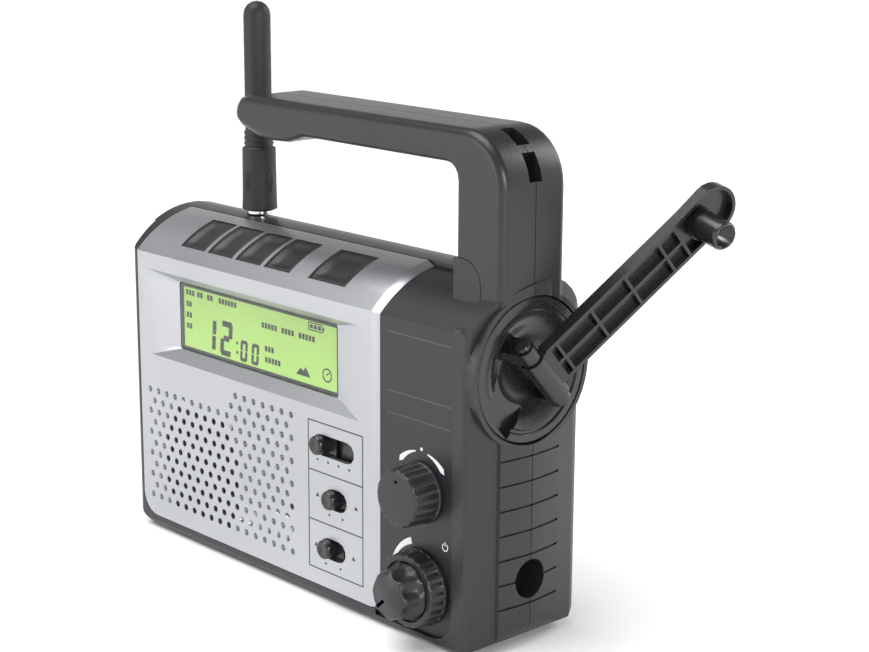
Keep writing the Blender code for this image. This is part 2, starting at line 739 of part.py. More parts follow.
def cut_front_shell(kit, shell):
    """Pockets for the bezel and the panel, and the openings behind them."""
    left = -CORNER_X + BEZEL_LEFT_RIM - GAP
    split = BEZEL_SPLIT + BEZEL_BEVEL + GAP / 2
    back = FRONT + BEZEL_THICK + GAP
    radius = CROWN_RADIUS - BEZEL_THICK - GAP
    bottom = BEZEL_BOTTOM - GAP
    above = crown_height(CROWN_OFFSET, CROWN_RADIUS) + 6 * MM
    region = outside_front(back, radius, bottom, GAP, above)
    pocket = kit.cutter("bezel_pocket", prism(region, left, split, "x"))
    outline = rounded(left, split + MM, bottom, above + MM, (BEZEL_CORNER, 0, 0, 0), 5)
    shape = kit.cutter("bezel_pocket_outline", prism(outline, FRONT - 25 * MM, 5 * MM, "y"))
    boolean(pocket, shape, "INTERSECT")
    boolean(shell, pocket)

    back = PANEL_BACK + GAP
    radius = CROWN_RADIUS - PANEL_SINK - PANEL_THICK - GAP
    bottom = PANEL_BOTTOM - GAP
    tongue_back = -HANDLE_HALF_DEPTH + PANEL_THICK + GAP
    inner = POST_INNER - GAP
    region = outside_front(back, radius, bottom, GAP, above)
    boolean(shell, kit.cutter("panel_pocket_top", prism(region, split - MM, inner, "x")))
    foot_top = crown_height(-HANDLE_HALF_DEPTH, CROWN_RADIUS)
    region = outside_front(back, radius, bottom, tongue_back, foot_top)
    pocket = kit.cutter("panel_pocket", prism(region, inner - MM, PANEL_RIGHT + GAP, "x"))
    outline = rounded(
        split, PANEL_RIGHT + GAP, bottom, above, (0, PANEL_CORNER + GAP, 0, 0), 5
    )
    shape = kit.cutter("panel_pocket_outline", prism(outline, FRONT - 25 * MM, 5 * MM, "y"))
    boolean(pocket, shape, "INTERSECT")
    boolean(shell, pocket)
    outline = rounded(inner - MM, PANEL_RIGHT + GAP, CREASE_HEIGHT, TONGUE_TOP + GAP,
                      (0, 0, TONGUE_CORNER + GAP, 0), 5)
    tongue = prism(outline, FRONT - 25 * MM, tongue_back, "y")
    boolean(shell, kit.cutter("tongue_pocket", tongue))

    through = (FRONT - 5 * MM, CAVITY_FRONT + 0.5 * MM)
    half_w = WINDOW_WIDTH / 2
    half_h = WINDOW_HEIGHT / 2
    extra = 1.8 * MM + GAP
    opening = box(
        (WINDOW_CENTRE_X - half_w - RECESS_LEFT - extra, through[0],
         WINDOW_CENTRE_Z - half_h - RECESS_DOWN - extra),
        (WINDOW_CENTRE_X + half_w + RECESS_RIGHT + extra, through[1],
         WINDOW_CENTRE_Z + half_h + RECESS_UP + extra),
    )
    rod(SPEAKER_RADIUS - 2.5 * MM, (SPEAKER_X, SPEAKER_Z), *through, "y", 32, opening)
    lows = min(z for _, _, z, _ in SLOTS) - SLOT_HEIGHT
    highs = max(z for _, _, z, _ in SLOTS) + SLOT_HEIGHT
    mid = SLOTS[0][1]
    box((mid - 17 * MM, through[0], lows), (mid + 17 * MM, through[1], highs), opening)
    rod(3.0 * MM + GAP, microphone_centre(), *through, "y", 16, opening)
    rod(SHAFT_RADIUS + 2.0 * MM, (KNOB_X, TUNING_Z), *through, "y", 20, opening)
    rod(SHAFT_RADIUS + 4.0 * MM, (KNOB_X, VOLUME_Z), *through, "y", 20, opening)
    boolean(shell, kit.cutter("front_openings", opening))
    boolean(shell, kit.cutter("shell_button_windows", button_windows(0.3 * MM)))
    bosses = bmesh.new()
    pilots = bmesh.new()
    for x, z in SCREWS:
        rod(BOSS_RADIUS - 0.6 * MM, (x, z), CAVITY_FRONT - MM, -GAP / 2, "y", 14, bosses)
        rod(SCREW_RADIUS + GAP, (x, z), -14 * MM, 3 * MM, "y", 12, pilots)
    boolean(shell, kit.cutter("front_bosses", bosses), "UNION")
    boolean(shell, kit.cutter("front_pilots", pilots))


def cut_rear_shell(kit, shell):
    """Battery bay, door pocket, screw bosses and the aerial hole."""
    floor = BACK - DOOR_THICK - GAP - BAY_DEPTH
    wall = DOOR_LEDGE + 2.0 * MM
    bay = box(
        (BAY_LEFT - wall, floor - 1.6 * MM, BAY_BOTTOM - wall),
        (BAY_RIGHT + wall, BACK - MM, BAY_TOP + wall),
    )
    boolean(shell, kit.cutter("bay_block", bay), "UNION")
    void = box((BAY_LEFT, floor, BAY_BOTTOM), (BAY_RIGHT, BACK + 5 * MM, BAY_TOP))
    boolean(shell, kit.cutter("bay_void", void))
    ledge = DOOR_LEDGE + GAP
    seat = box(
        (BAY_LEFT - ledge, BACK - DOOR_THICK - GAP, BAY_BOTTOM - ledge),
        (BAY_RIGHT + ledge, BACK + 5 * MM, BAY_TOP + ledge),
    )
    boolean(shell, kit.cutter("door_seat", seat))
    bosses = bmesh.new()
    holes = bmesh.new()
    for x, z in SCREWS:
        rod(BOSS_RADIUS, (x, z), GAP / 2, BACK - MM, "y", 14, bosses)
        rod(SCREW_RADIUS + GAP, (x, z), -MM, BACK, "y", 12, holes)
    counter = bmesh.new()
    for x, z in SCREWS:
        rod(SCREW_HEAD + GAP, (x, z), BACK - 6 * MM, BACK + 5 * MM, "y", 14, counter)
    boolean(shell, kit.cutter("rear_bosses", bosses), "UNION")
    boolean(shell, kit.cutter("rear_screw_holes", holes))
    boolean(shell, kit.cutter("rear_counterbores", counter))
    top = crown_height(ANTENNA_Y, CROWN_RADIUS)
    hole = rod(3.9 * MM + GAP, (ANTENNA_X, ANTENNA_Y), top - 12 * MM, top + 5 * MM, "z", 16)
    boolean(shell, kit.cutter("antenna_hole", hole))


def button_spans():
    for index, left in enumerate(BUTTON_LEFTS):
        width = TALK_WIDTH if index == len(BUTTON_LEFTS) - 1 else BUTTON_WIDTH
        yield left, left + width


def button_windows(extra):
    bm = bmesh.new()
    side = BUTTON_CLEARANCE + extra
    low = CROWN_RADIUS - 9 * MM
    outline = button_outline(BUTTON_HALF + side, low, CROWN_RADIUS + 6 * MM, 3)
    for left, right in button_spans():
        prism(outline, left - side, right + side, "x", bm)
    return bm


def microphone_centre():
    return (HOLE_FIRST_X + 16 * HOLE_PITCH_X, HOLE_FIRST_Z + 4 * HOLE_PITCH_Z)


def recess_form(y_front, y_back, grow):
    """Tapered block of the display recess, from its mouth to the window."""
    w = WINDOW_WIDTH / 2
    h = WINDOW_HEIGHT / 2
    cx, cz = WINDOW_CENTRE_X, WINDOW_CENTRE_Z
    mouth = rounded(
        cx - w - RECESS_LEFT - grow, cx + w + RECESS_RIGHT + grow,
        cz - h - RECESS_DOWN - grow, cz + h + RECESS_UP + grow, (3 * MM + grow,) * 4, 3,
    )
    window = rounded(cx - w - grow, cx + w + grow, cz - h - grow, cz + h + grow,
                     (1.2 * MM + grow,) * 4, 3)
    return [[(x, y_front, z) for x, z in mouth], [(x, y_back, z) for x, z in window]]


def build_bezel(kit, silver):
    """Silver front plate: front face, crown, display recess and grille."""
    left = -CORNER_X + BEZEL_LEFT_RIM
    split = BEZEL_SPLIT
    end = BEZEL_SPLIT + BEZEL_BEVEL
    y_end = -GAP * 1.5
    sections = [
        wrap_section(left, 0.0, BEZEL_THICK, BEZEL_BOTTOM, y_end, 14),
        wrap_section(split, 0.0, BEZEL_THICK, BEZEL_BOTTOM, y_end, 14),
    ]
    outer = wrap_section(end, PANEL_SINK, BEZEL_THICK - PANEL_SINK, BEZEL_BOTTOM, y_end, 14)
    inner = wrap_section(end, 0.0, BEZEL_THICK, BEZEL_BOTTOM, y_end, 14)
    half = len(outer) // 2
    sections.append(outer[:half] + inner[half:])
    bezel = kit.piece("front_bezel", loft(sections), silver)
    above = crown_height(CROWN_OFFSET, CROWN_RADIUS) + 6 * MM
    outline = rounded(left, end + MM, BEZEL_BOTTOM, above, (BEZEL_CORNER, 0, 0, 0), 6)
    shape = kit.cutter("bezel_outline", prism(outline, FRONT - 5 * MM, 5 * MM, "y"))
    boolean(bezel, shape, "INTERSECT")

    floor = FRONT + RECESS_DEPTH
    block = recess_form(FRONT + 0.8 * MM, floor + RECESS_WALL, RECESS_WALL)
    boolean(bezel, kit.cutter("recess_block", loft(block)), "UNION")
    front, back = recess_form(FRONT, floor, 0.0)
    above_face = [(x, FRONT - 2 * MM, z) for x, _, z in front]
    boolean(bezel, kit.cutter("recess_void", loft([above_face, front, back])))
    w = WINDOW_WIDTH / 2
    h = WINDOW_HEIGHT / 2
    window = rounded(WINDOW_CENTRE_X - w, WINDOW_CENTRE_X + w, WINDOW_CENTRE_Z - h,
                     WINDOW_CENTRE_Z + h, (1.2 * MM,) * 4, 3)
    boolean(bezel, kit.cutter("window", prism(window, floor - MM, floor + 5 * MM, "y")))

    holes = bmesh.new()
    through = (FRONT - MM, FRONT + BEZEL_THICK + MM)
    for centre in hole_centres():
        prism(ring(HOLE_RADIUS, centre, 8, 22.5), *through, "y", holes)
    prism(ring(HOLE_RADIUS * 0.9, microphone_centre(), 10), *through, "y", holes)
    for _, x, z, length in SLOTS:
        prism(stadium((x, z), length, SLOT_HEIGHT, 5), *through, "y", holes)
    boolean(bezel, kit.cutter("bezel_holes", holes))
    boolean(bezel, kit.cutter("bezel_button_windows", button_windows(0.0)))


def build_panel(kit, dark):
    """Dark plate with the knobs; it runs over the crown and up the post's foot."""
    y_end = -GAP * 1.5
    inner = POST_INNER - GAP * 2
    tongue_back = -HANDLE_HALF_DEPTH + PANEL_THICK
    right = PANEL_RIGHT
    first = [wrap_section(x, PANEL_SINK, PANEL_THICK, PANEL_BOTTOM, y_end, 12)
             for x in (PANEL_LEFT, inner)]
    panel = kit.piece("control_panel", loft(first), dark)
    second = [wrap_section(x, PANEL_SINK, PANEL_THICK, PANEL_BOTTOM, tongue_back, 9)
              for x in (inner - 3 * MM, right)]
    boolean(panel, kit.cutter("panel_side", loft(second)), "UNION")
    outline = rounded(POST_INNER, right, CREASE_HEIGHT + 5 * MM, TONGUE_TOP,
                      (0, 0, TONGUE_CORNER, 0), 5)
    foot_low = crown_height(tongue_back, CROWN_RADIUS - PANEL_SINK - PANEL_THICK)
    outline = [(x, max(z, foot_low)) for x, z in outline]
    tongue = prism(outline, -HANDLE_HALF_DEPTH, tongue_back, "y")
    boolean(panel, kit.cutter("panel_tongue", tongue), "UNION")
    above = TONGUE_TOP + 5 * MM
    outline = rounded(PANEL_LEFT - MM, right, PANEL_BOTTOM, above, (0, PANEL_CORNER, 0, 0), 6)
    shape = kit.cutter("panel_outline", prism(outline, FRONT - 5 * MM, 5 * MM, "y"))
    boolean(panel, shape, "INTERSECT")
    holes = rod(SHAFT_RADIUS + MM, (KNOB_X, TUNING_Z), FRONT, PANEL_BACK + MM, "y", 20)
    rod(SHAFT_RADIUS + 3.2 * MM, (KNOB_X, VOLUME_Z), FRONT, PANEL_BACK + MM, "y", 20, holes)
    boolean(panel, kit.cutter("shaft_holes", holes))


def build_display(kit, clear, glass, lit):
    floor = FRONT + RECESS_DEPTH
    w = WINDOW_WIDTH / 2 - GAP
    h = WINDOW_HEIGHT / 2 - GAP
    cx, cz = WINDOW_CENTRE_X, WINDOW_CENTRE_Z
    outline = rounded(cx - w, cx + w, cz - h, cz + h, (0.9 * MM,) * 4, 2)
    kit.piece("lcd_lens", prism(outline, floor + 0.1 * MM, floor + 0.1 * MM + LENS_THICK, "y"), clear)
    w = WINDOW_WIDTH / 2 + DISPLAY_BORDER
    h = WINDOW_HEIGHT / 2 + DISPLAY_BORDER
    front = floor + RECESS_WALL + GAP
    back = front + DISPLAY_THICK
    kit.piece("lcd_glass", box((cx - w, front, cz - h), (cx + w, back, cz + h)), glass)
    front = back + GAP
    kit.piece(
        "lcd_backlight",
        box((cx - w, front, cz - h), (cx + w, front + BACKLIGHT_THICK, cz + h)), lit,
    )


def build_buttons(kit, rubber, board):
    radius = CROWN_RADIUS - BUTTON_SINK
    low = radius - BUTTON_HEIGHT
    outline = button_outline(BUTTON_HALF, low, radius)
    for index, (left, right) in enumerate(button_spans()):
        name = f"button_{index + 1}"
        smooth(kit.piece(name, prism(outline, left, right, "x"), rubber))
    tangent, normal = button_frame(BUTTON_TILT)
    top = low - 1.3 * MM
    local = ((-11 * MM, top), (11 * MM, top), (11 * MM, top - BOARD_THICK), (-11 * MM, top - BOARD_THICK))
    outline = [
        (CROWN_OFFSET + u * tangent[0] + w * normal[0], CROWN_Z + u * tangent[1] + w * normal[1])
        for u, w in local
    ]
    spans = list(button_spans())
    left, right = spans[0][0] - 2 * MM, spans[-1][1] + 2 * MM
    kit.piece("key_board", prism(outline, left, right, "x"), board)


def build_sliders(kit, black, metal):
    """Slider knobs at the left end of their slots, with the switch bodies."""
    back = FRONT + BEZEL_THICK + GAP
    for name, x, z, length in SLOTS:
        start = x - length / 2 + SLOT_HEIGHT / 2 + GAP / 2
        knob = rod(SLIDER_RADIUS, (start, z), FRONT - SLIDER_PROUD, back + 0.4 * MM, "y", 20)
        piece = kit.piece(f"{name}_knob", knob, black)
        half = 7.2 * MM
        plate = box((start - half, back, z - 5.2 * MM), (start + half, back + MM, z + 5.2 * MM))
        boolean(piece, kit.cutter(f"{name}_plate", plate), "UNION")
        smooth(piece)
        body_front = back + MM + GAP
        body = box((x - 9 * MM, body_front, z - 5 * MM), (x + 9 * MM, body_front + 6 * MM, z + 5 * MM))
        kit.piece(f"{name}_switch", body, metal)


def build_knobs(kit, black, metal, board):
    """Tuning knob, and the volume knob inside the tone ring."""
    panel = PANEL_FRONT
    rest = panel - GAP
    face = panel - TUNING_HEIGHT
    bore = SHAFT_RADIUS + GAP
    profile = [
        (bore, rest), (TUNING_RADIUS, rest), (TUNING_RADIUS - 0.1 * MM, rest - 1.2 * MM),
        (TUNING_RADIUS - KNOB_DRAFT, face + 0.7 * MM),
        (TUNING_RADIUS - KNOB_DRAFT - 0.7 * MM, face), (0.0, face),
        (0.0, face + 3.0 * MM), (bore, face + 3.0 * MM),
    ]
    centre = (KNOB_X, TUNING_Z)
    smooth(kit.piece("tuning_knob", bored(profile, centre, 32), black))
    deep = CAVITY_FRONT + GAP
    shaft = rod(SHAFT_RADIUS, centre, face + 3.0 * MM + GAP, deep + 5.7 * MM, "y", 20)
    smooth(kit.piece("tuning_shaft", shaft, metal))
    control = kit.piece(
        "tuning_control",
        box((KNOB_X - 8.5 * MM, deep, TUNING_Z - 8.5 * MM),
            (KNOB_X + 8.5 * MM, deep + 10 * MM, TUNING_Z + 8.5 * MM)), board,
    )
    hole = rod(bore, centre, deep - MM, deep + 6.0 * MM, "y", 20)
    boolean(control, kit.cutter("tuning_bore", hole))

    centre = (KNOB_X, VOLUME_Z)
    face = panel - TONE_HEIGHT
    hub = bore + 1.8 * MM
    step = face + 1.8 * MM
    ring_profile = [
        (bore, deep + 2.0 * MM), (hub, deep + 2.0 * MM), (hub, rest), (TONE_RADIUS, rest),
        (TONE_RADIUS - 0.1 * MM, rest - 1.2 * MM),
        (TONE_RADIUS - KNOB_DRAFT, face + 0.6 * MM), (TONE_RADIUS - KNOB_DRAFT - 0.6 * MM, face),
        (VOLUME_RADIUS + 0.8 * MM, face), (VOLUME_RADIUS + 0.8 * MM, step), (bore, step),
    ]
    smooth(kit.piece("tone_ring", turned(ring_profile, centre, "y", 36), black))
    rest = step - GAP
    face = panel - VOLUME_HEIGHT
    profile = [
        (bore, rest), (VOLUME_RADIUS, rest), (VOLUME_RADIUS - 0.6 * MM, face + 1.2 * MM),
        (VOLUME_RADIUS - 1.8 * MM, face), (0.0, face), (0.0, face + 3.0 * MM),
        (bore, face + 3.0 * MM),
    ]
    smooth(kit.piece("volume_knob", bored(profile, centre, 32), black))
    shaft = rod(SHAFT_RADIUS, centre, face + 3.0 * MM + GAP, deep + 5.7 * MM, "y", 20)
    smooth(kit.piece("volume_shaft", shaft, metal))
    control = kit.piece(
        "volume_control",
        box((KNOB_X - 9 * MM, deep, VOLUME_Z - 9 * MM),
            (KNOB_X + 9 * MM, deep + 12 * MM, VOLUME_Z + 9 * MM)), board,
    )
    wide = rod(hub + GAP, centre, deep - MM, deep + 2.0 * MM + GAP, "y", 20)
    boolean(control, kit.cutter("volume_bore_wide", wide))
    narrow = rod(bore, centre, deep, deep + 6.0 * MM, "y", 20)
    boolean(control, kit.cutter("volume_bore", narrow))


def bored(profile, centre, steps):
    """Knob turned about Y with a blind bore: the profile meets the axis twice."""
    bm = bmesh.new()
    rows = []
    for radius, along in profile:
        if radius < 1e-9:
            rows.append([bm.verts.new((centre[0], along, centre[1]))])
        else:
            rows.append([bm.verts.new((centre[0] + u, along, centre[1] + v))
                         for u, v in ring(radius, steps=steps)])
    for near, far in zip(rows, rows[1:] + rows[:1]):
        if len(near) == 1 and len(far) == 1:
            continue
        for i in range(steps):
            j = (i + 1) % steps
            if len(near) == 1:
                bm.faces.new((near[0], far[i], far[j]))
            elif len(far) == 1:
                bm.faces.new((near[i], far[0], near[j]))
            else:
                bm.faces.new((near[i], far[i], far[j], near[j]))
    return bm


def build_audio(kit, black, metal, paper, board):
    """Speaker, microphone, main board and ferrite rod."""
    front = CAVITY_FRONT + GAP
    r = SPEAKER_RADIUS
    back = front + SPEAKER_DEPTH
    centre = (SPEAKER_X, SPEAKER_Z)
    frame = [
        (0.0, back), (r * 0.58, back), (r * 0.58, back - 8.5 * MM), (r * 0.93, front + 1.5 * MM),
        (r, front + 1.5 * MM), (r, front), (r * 0.92, front), (r * 0.88, front + 1.7 * MM),
        (r * 0.47, back - 9.0 * MM), (0.0, back - 9.0 * MM),
    ]
    smooth(kit.piece("speaker_frame", turned(frame, centre, "y", 28), metal))
    cone = [
        (0.0, back - 10.4 * MM), (r * 0.4, back - 10.4 * MM), (r * 0.85, front + 0.9 * MM),
        (r * 0.88, front + 0.3 * MM), (r * 0.84, front - 0.3 * MM), (r * 0.78, front + 0.6 * MM),
        (r * 0.36, back - 11.4 * MM), (r * 0.2, back - 13.4 * MM), (0.0, back - 14.0 * MM),
    ]
    smooth(kit.piece("speaker_cone", turned(cone, centre, "y", 28), paper))
    mic = rod(3.0 * MM, microphone_centre(), FRONT + BEZEL_THICK + GAP, CAVITY_FRONT + 1.5 * MM, "y", 16)
    smooth(kit.piece("microphone", mic, metal))
    board_box = box(
        (-CORNER_X + 13 * MM, 1.4 * MM, 18 * MM),
        (BEZEL_SPLIT + 8 * MM, 1.4 * MM + BOARD_THICK, CREASE_HEIGHT - 12 * MM),
    )
    kit.piece("main_board", board_box, board)
    rod_z = CREASE_HEIGHT + 3.0 * MM
    ferrite = rod(4.6 * MM, (14 * MM, rod_z), -46 * MM, 46 * MM, "x", 16)
    smooth(kit.piece("ferrite_rod", ferrite, black))


def build_crank(kit, black, metal, screw_metal):
    """Disc with its fork, hinge pin, folding arm and the grip that spins on it."""
    face = 0.0
    frame = disc_frame()
    floor = -4.8 * MM
    profile = [
        (0.0, -DISC_DEPTH - 17.5 * MM), (AXLE_RADIUS, -DISC_DEPTH - 17.5 * MM),
        (AXLE_RADIUS, -DISC_DEPTH), (DISC_RADIUS - 0.6 * MM, -DISC_DEPTH),
        (DISC_RADIUS, -DISC_DEPTH + 0.6 * MM), (DISC_RADIUS, face - 0.6 * MM),
        (DISC_RADIUS - 0.6 * MM, face), (DISC_RADIUS - 3.2 * MM, face),
        (DISC_RADIUS - 3.8 * MM, face - 0.8 * MM), (DISC_RADIUS - 4.8 * MM, face - 0.8 * MM),
        (DISC_RADIUS - 5.4 * MM, face - 0.1 * MM), (DISC_RADIUS - 8.0 * MM, face - 0.4 * MM),
        (DISC_RADIUS - 11.5 * MM, face - 3.0 * MM), (DISC_RADIUS - 14.5 * MM, floor + 0.5 * MM),
        (DISC_RADIUS - 17.0 * MM, floor), (0.0, floor),
    ]
    disc = kit.piece("crank_disc", turned(profile, (0.0, 0.0), "z", 48, None, frame), black)
    width = ARM_HALF + 0.4 * MM
    channel = box((4.0 * MM, -width, floor + 1.0 * MM), (DISC_RADIUS - 2.0 * MM, width, 5 * MM),
                  None, frame)
    boolean(disc, kit.cutter("disc_channel", channel))
    lugs = bmesh.new()
    for low, high in ((-14.3 * MM, -8.2 * MM), (12.8 * MM, 16.0 * MM)):
        tip = ring(3.8 * MM, (0.0, PIN_OUT), 8, 0.0, 180.0)
        outline = [(-3.8 * MM, floor - MM), (3.8 * MM, floor - MM)] + tip
        prism(outline, low, high, "y", lugs, frame)
    boolean(disc, kit.cutter("disc_lugs", lugs), "UNION")
    hole = rod(PIN_RADIUS + GAP, (0.0, PIN_OUT), -30 * MM, 30 * MM, "y", 14, None, frame)
    boolean(disc, kit.cutter("pin_hole", hole))
    clear = rod(BARREL_RADIUS + 0.7 * MM, (0.0, PIN_OUT), -8.2 * MM, 12.8 * MM, "y", 20, None, frame)
    boolean(disc, kit.cutter("barrel_room", clear))
    smooth(disc)

    arm_frame = crank_frame()
    pin_profile = [
        (0.0, -16.3 * MM), (2.6 * MM, -16.3 * MM), (3.0 * MM, -15.8 * MM), (3.0 * MM, -14.6 * MM),
        (PIN_RADIUS, -14.6 * MM), (PIN_RADIUS, 16.4 * MM), (0.0, 16.4 * MM),
    ]
    pin = turned(pin_profile, (0.0, 0.0), "y", 16, None, arm_frame)
    smooth(kit.piece("crank_pin", pin, metal))

    half, tip, at = ARM_HALF, ARM_TIP_RADIUS, ARM_TIP_AT
    outline = [(0.0, -half), (at - 12 * MM, -half)]
    outline += ring(tip, (at, 0.0), 12, -90.0, 180.0)
    outline += [(at - 12 * MM, half), (0.0, half)]
    arm = kit.piece(
        "crank_arm", prism(outline, -ARM_BACK, ARM_RIM, "z", None, arm_frame), black
    )
    barrel = rod(BARREL_RADIUS, (0.0, 0.0), -7.9 * MM, 12.5 * MM, "y", 20, None, arm_frame)
    boolean(arm, kit.cutter("arm_barrel", barrel), "UNION")
    clear_lug = box((-6 * MM, -12 * MM, -5 * MM), (5.0 * MM, -7.9 * MM, 5 * MM), None, arm_frame)
    boolean(arm, kit.cutter("arm_lug_room", clear_lug))
    inner = ARM_HALF - ARM_RIM_WALL
    rib = 0.6 * MM
    cells = bmesh.new()
    edges = [6.2 * MM, *ARM_RIBS, 71.0 * MM]
    for start, end in zip(edges, edges[1:]):
        for side in (-1, 1):
            low, high = sorted((side * rib, side * inner))
            box((start + rib, low, -0.2 * MM), (end - rib, high, 6 * MM), cells, arm_frame)
    tip_outline = [(edges[-1] + rib, -inner), (at - 12 * MM, -inner)]
    tip_outline += ring(tip - ARM_RIM_WALL, (at, 0.0), 10, -90.0, 180.0)
    tip_outline += [(at - 12 * MM, inner), (edges[-1] + rib, inner)]
    prism(tip_outline, -0.2 * MM, 6 * MM, "z", cells, arm_frame)
    boolean(arm, kit.cutter("arm_cells", cells))
    spot = (ARM_LENGTH, 0.0)
    collar = rod(6.2 * MM, spot, -MM, GRIP_FROM - GAP, "z", 20, None, arm_frame)
    boolean(arm, kit.cutter("arm_collar", collar), "UNION")
    hole = rod(1.5 * MM + GAP, spot, -0.9 * MM, 9 * MM, "z", 12, None, arm_frame)
    boolean(arm, kit.cutter("arm_screw_hole", hole))
    hole = rod(PIN_RADIUS + GAP, (0.0, 0.0), -20 * MM, 20 * MM, "y", 14, None, arm_frame)
    boolean(arm, kit.cutter("arm_pin_hole", hole))
    smooth(arm)

    grip = [
        (1.5 * MM + GAP, GRIP_FROM), (GRIP_RADIUS - 0.4 * MM, GRIP_FROM),
        (GRIP_RADIUS, GRIP_FROM + 0.5 * MM), (GRIP_RADIUS - 0.2 * MM, GRIP_TO - 1.0 * MM),
        (GRIP_RADIUS - 0.9 * MM, GRIP_TO), (4.1 * MM, GRIP_TO), (3.9 * MM, 9.5 * MM),
        (1.5 * MM + GAP, 9.5 * MM),
    ]
    smooth(kit.piece("crank_knob", turned(grip, spot, "z", 24, None, arm_frame), black))
    screw = [
        (0.0, -0.5 * MM), (1.5 * MM, -0.5 * MM), (1.5 * MM, 9.8 * MM), (3.1 * MM, 9.8 * MM),
        (3.1 * MM, 10.8 * MM), (2.0 * MM, 11.6 * MM), (0.0, 11.6 * MM),
    ]
    smooth(kit.piece("crank_knob_screw", turned(screw, spot, "z", 14, None, arm_frame), screw_metal))


def build_gears(kit, white, metal, black):
    """Drive gear on the crank axle, idler, and the generator with its pinion."""
    low, high = GEAR_FACE, GEAR_FACE + GEAR_WIDTH
    drive_at = (0.0, HUB_Z)
    first = GEAR_MODULE * (DRIVE_TEETH + IDLER_TEETH) / 2
    idler_at = (IDLER_Y, HUB_Z - math.sqrt(first**2 - IDLER_Y**2))
    second = GEAR_MODULE * (IDLER_TEETH + PINION_TEETH) / 2
    rotor_y = IDLER_Y - 2.0 * MM
    rotor_at = (rotor_y, idler_at[1] - math.sqrt(second**2 - 4.0 * MM * MM))
    aim = math.degrees(math.atan2(idler_at[1] - drive_at[1], idler_at[0] - drive_at[0]))
    outline = gear_outline(DRIVE_TEETH, drive_at, aim)
    hole = ring(AXLE_RADIUS + GAP, drive_at, DRIVE_TEETH, aim)
    kit.piece("drive_gear", with_hole(outline, hole, low, high, DRIVE_TEETH), white)
    phase = aim + 180.0 + 180.0 / IDLER_TEETH
    idler = prism(gear_outline(IDLER_TEETH, idler_at, phase), low, high, "x")
    piece = kit.piece("idler_gear", idler, white)
    pin = rod(2.0 * MM, idler_at, low - 3.2 * MM, high + 1.2 * MM, "x", 16)
    boolean(piece, kit.cutter("idler_pin", pin), "UNION")
    aim = math.degrees(math.atan2(rotor_at[1] - idler_at[1], rotor_at[0] - idler_at[0]))
    step = 360.0 / IDLER_TEETH
    offset = (aim - phase) / step - math.floor((aim - phase) / step)
    phase = aim + 180.0 + (0.5 + offset) * 360.0 / PINION_TEETH
    rotor = kit.piece(
        "generator_rotor",
        prism(gear_outline(PINION_TEETH, rotor_at, phase), low, high, "x"), metal,
    )
    shaft = rod(1.5 * MM, rotor_at, low - 12 * MM, high + 1.2 * MM, "x", 14)
    boolean(rotor, kit.cutter("rotor_shaft", shaft), "UNION")
    plate_high = low - GAP
    plate_low = plate_high - 1.5 * MM
    plate = kit.piece(
        "gear_plate",
        box((plate_low, -8 * MM, rotor_at[1] - 13 * MM), (plate_high, 24 * MM, HUB_Z + 9 * MM)),
        metal,
    )
    holes = rod(AXLE_RADIUS + GAP, drive_at, plate_low - MM, plate_high + MM, "x", 20)
    rod(2.0 * MM + GAP, idler_at, plate_low - MM, plate_high + MM, "x", 16, holes)
    rod(1.5 * MM + GAP, rotor_at, plate_low - MM, plate_high + MM, "x", 14, holes)
    boolean(plate, kit.cutter("plate_holes", holes))
    top = plate_low - GAP
    generator = kit.piece(
        "generator",
        rod(GENERATOR_RADIUS, rotor_at, top - GENERATOR_LENGTH, top, "x", 28), black,
    )
    bore = rod(1.5 * MM + GAP, rotor_at, low - 12 * MM - GAP, top + MM, "x", 14)
    boolean(generator, kit.cutter("generator_bore", bore))
    smooth(generator)


def build_antenna(kit, rubber, chrome):
    """Rubber whip that screws onto a metal connector in the rear of the crown."""
    base = crown_height(ANTENNA_Y, CROWN_RADIUS)
    seat = crown_height(CROWN_OFFSET, CROWN_RADIUS) + GAP
    centre = (ANTENNA_X, ANTENNA_Y)
    low = seat + 1.7 * MM
    connector = [
        (0.0, base - 8 * MM), (3.9 * MM, base - 8 * MM), (3.9 * MM, seat), (6.0 * MM, seat),
        (6.0 * MM, low), (0.0, low),
    ]
    smooth(kit.piece("antenna_connector", turned(connector, centre, "z", 20), chrome))
    start = low + GAP
    rings = seat + 29.5 * MM
    b, r = ANTENNA_BARREL, ANTENNA_ROD
    top = ANTENNA_TOP
    profile = [
        (0.0, start), (b + 0.2 * MM, start), (b + 0.4 * MM, start + 0.6 * MM),
        (b + 0.2 * MM, seat + 7 * MM), (b, rings - 1.5 * MM), (b - 0.5 * MM, rings - 1.0 * MM),
    ]
    for i in range(3):
        z = rings + i * 2.2 * MM
        profile += [(r + 0.2 * MM, z - 0.5 * MM), (r + 0.2 * MM, z), (b - 0.9 * MM, z + 0.3 * MM),
                    (b - 0.9 * MM, z + 1.2 * MM)]
    profile += [(r, rings + 6.2 * MM), (r, top - r)]
    profile += [(r * math.cos(a), top - r + r * math.sin(a))
                for a in (math.radians(t) for t in (22.0, 45.0, 68.0))]
    profile += [(0.0, top)]
    whip = kit.piece("antenna_whip", turned(profile, centre, "z", 24), rubber)
    grips = bmesh.new()
    for i in range(4):
        a = math.radians(90.0 * i + 4.0)
        at = Vector((centre[0] + (b - 1.2 * MM) * math.cos(a), centre[1] + (b - 1.2 * MM) * math.sin(a),
                     seat + 14.5 * MM))
        matrix = Matrix.Translation(at) @ Matrix.Rotation(a, 4, "Z")
        matrix = matrix @ Matrix.Diagonal((2.6, 2.1, 6.2, 1.0))
        bmesh.ops.create_uvsphere(grips, u_segments=10, v_segments=6, radius=MM, matrix=matrix)
    boolean(whip, kit.cutter("antenna_grips", grips), "UNION")
    smooth(whip, 40.0)


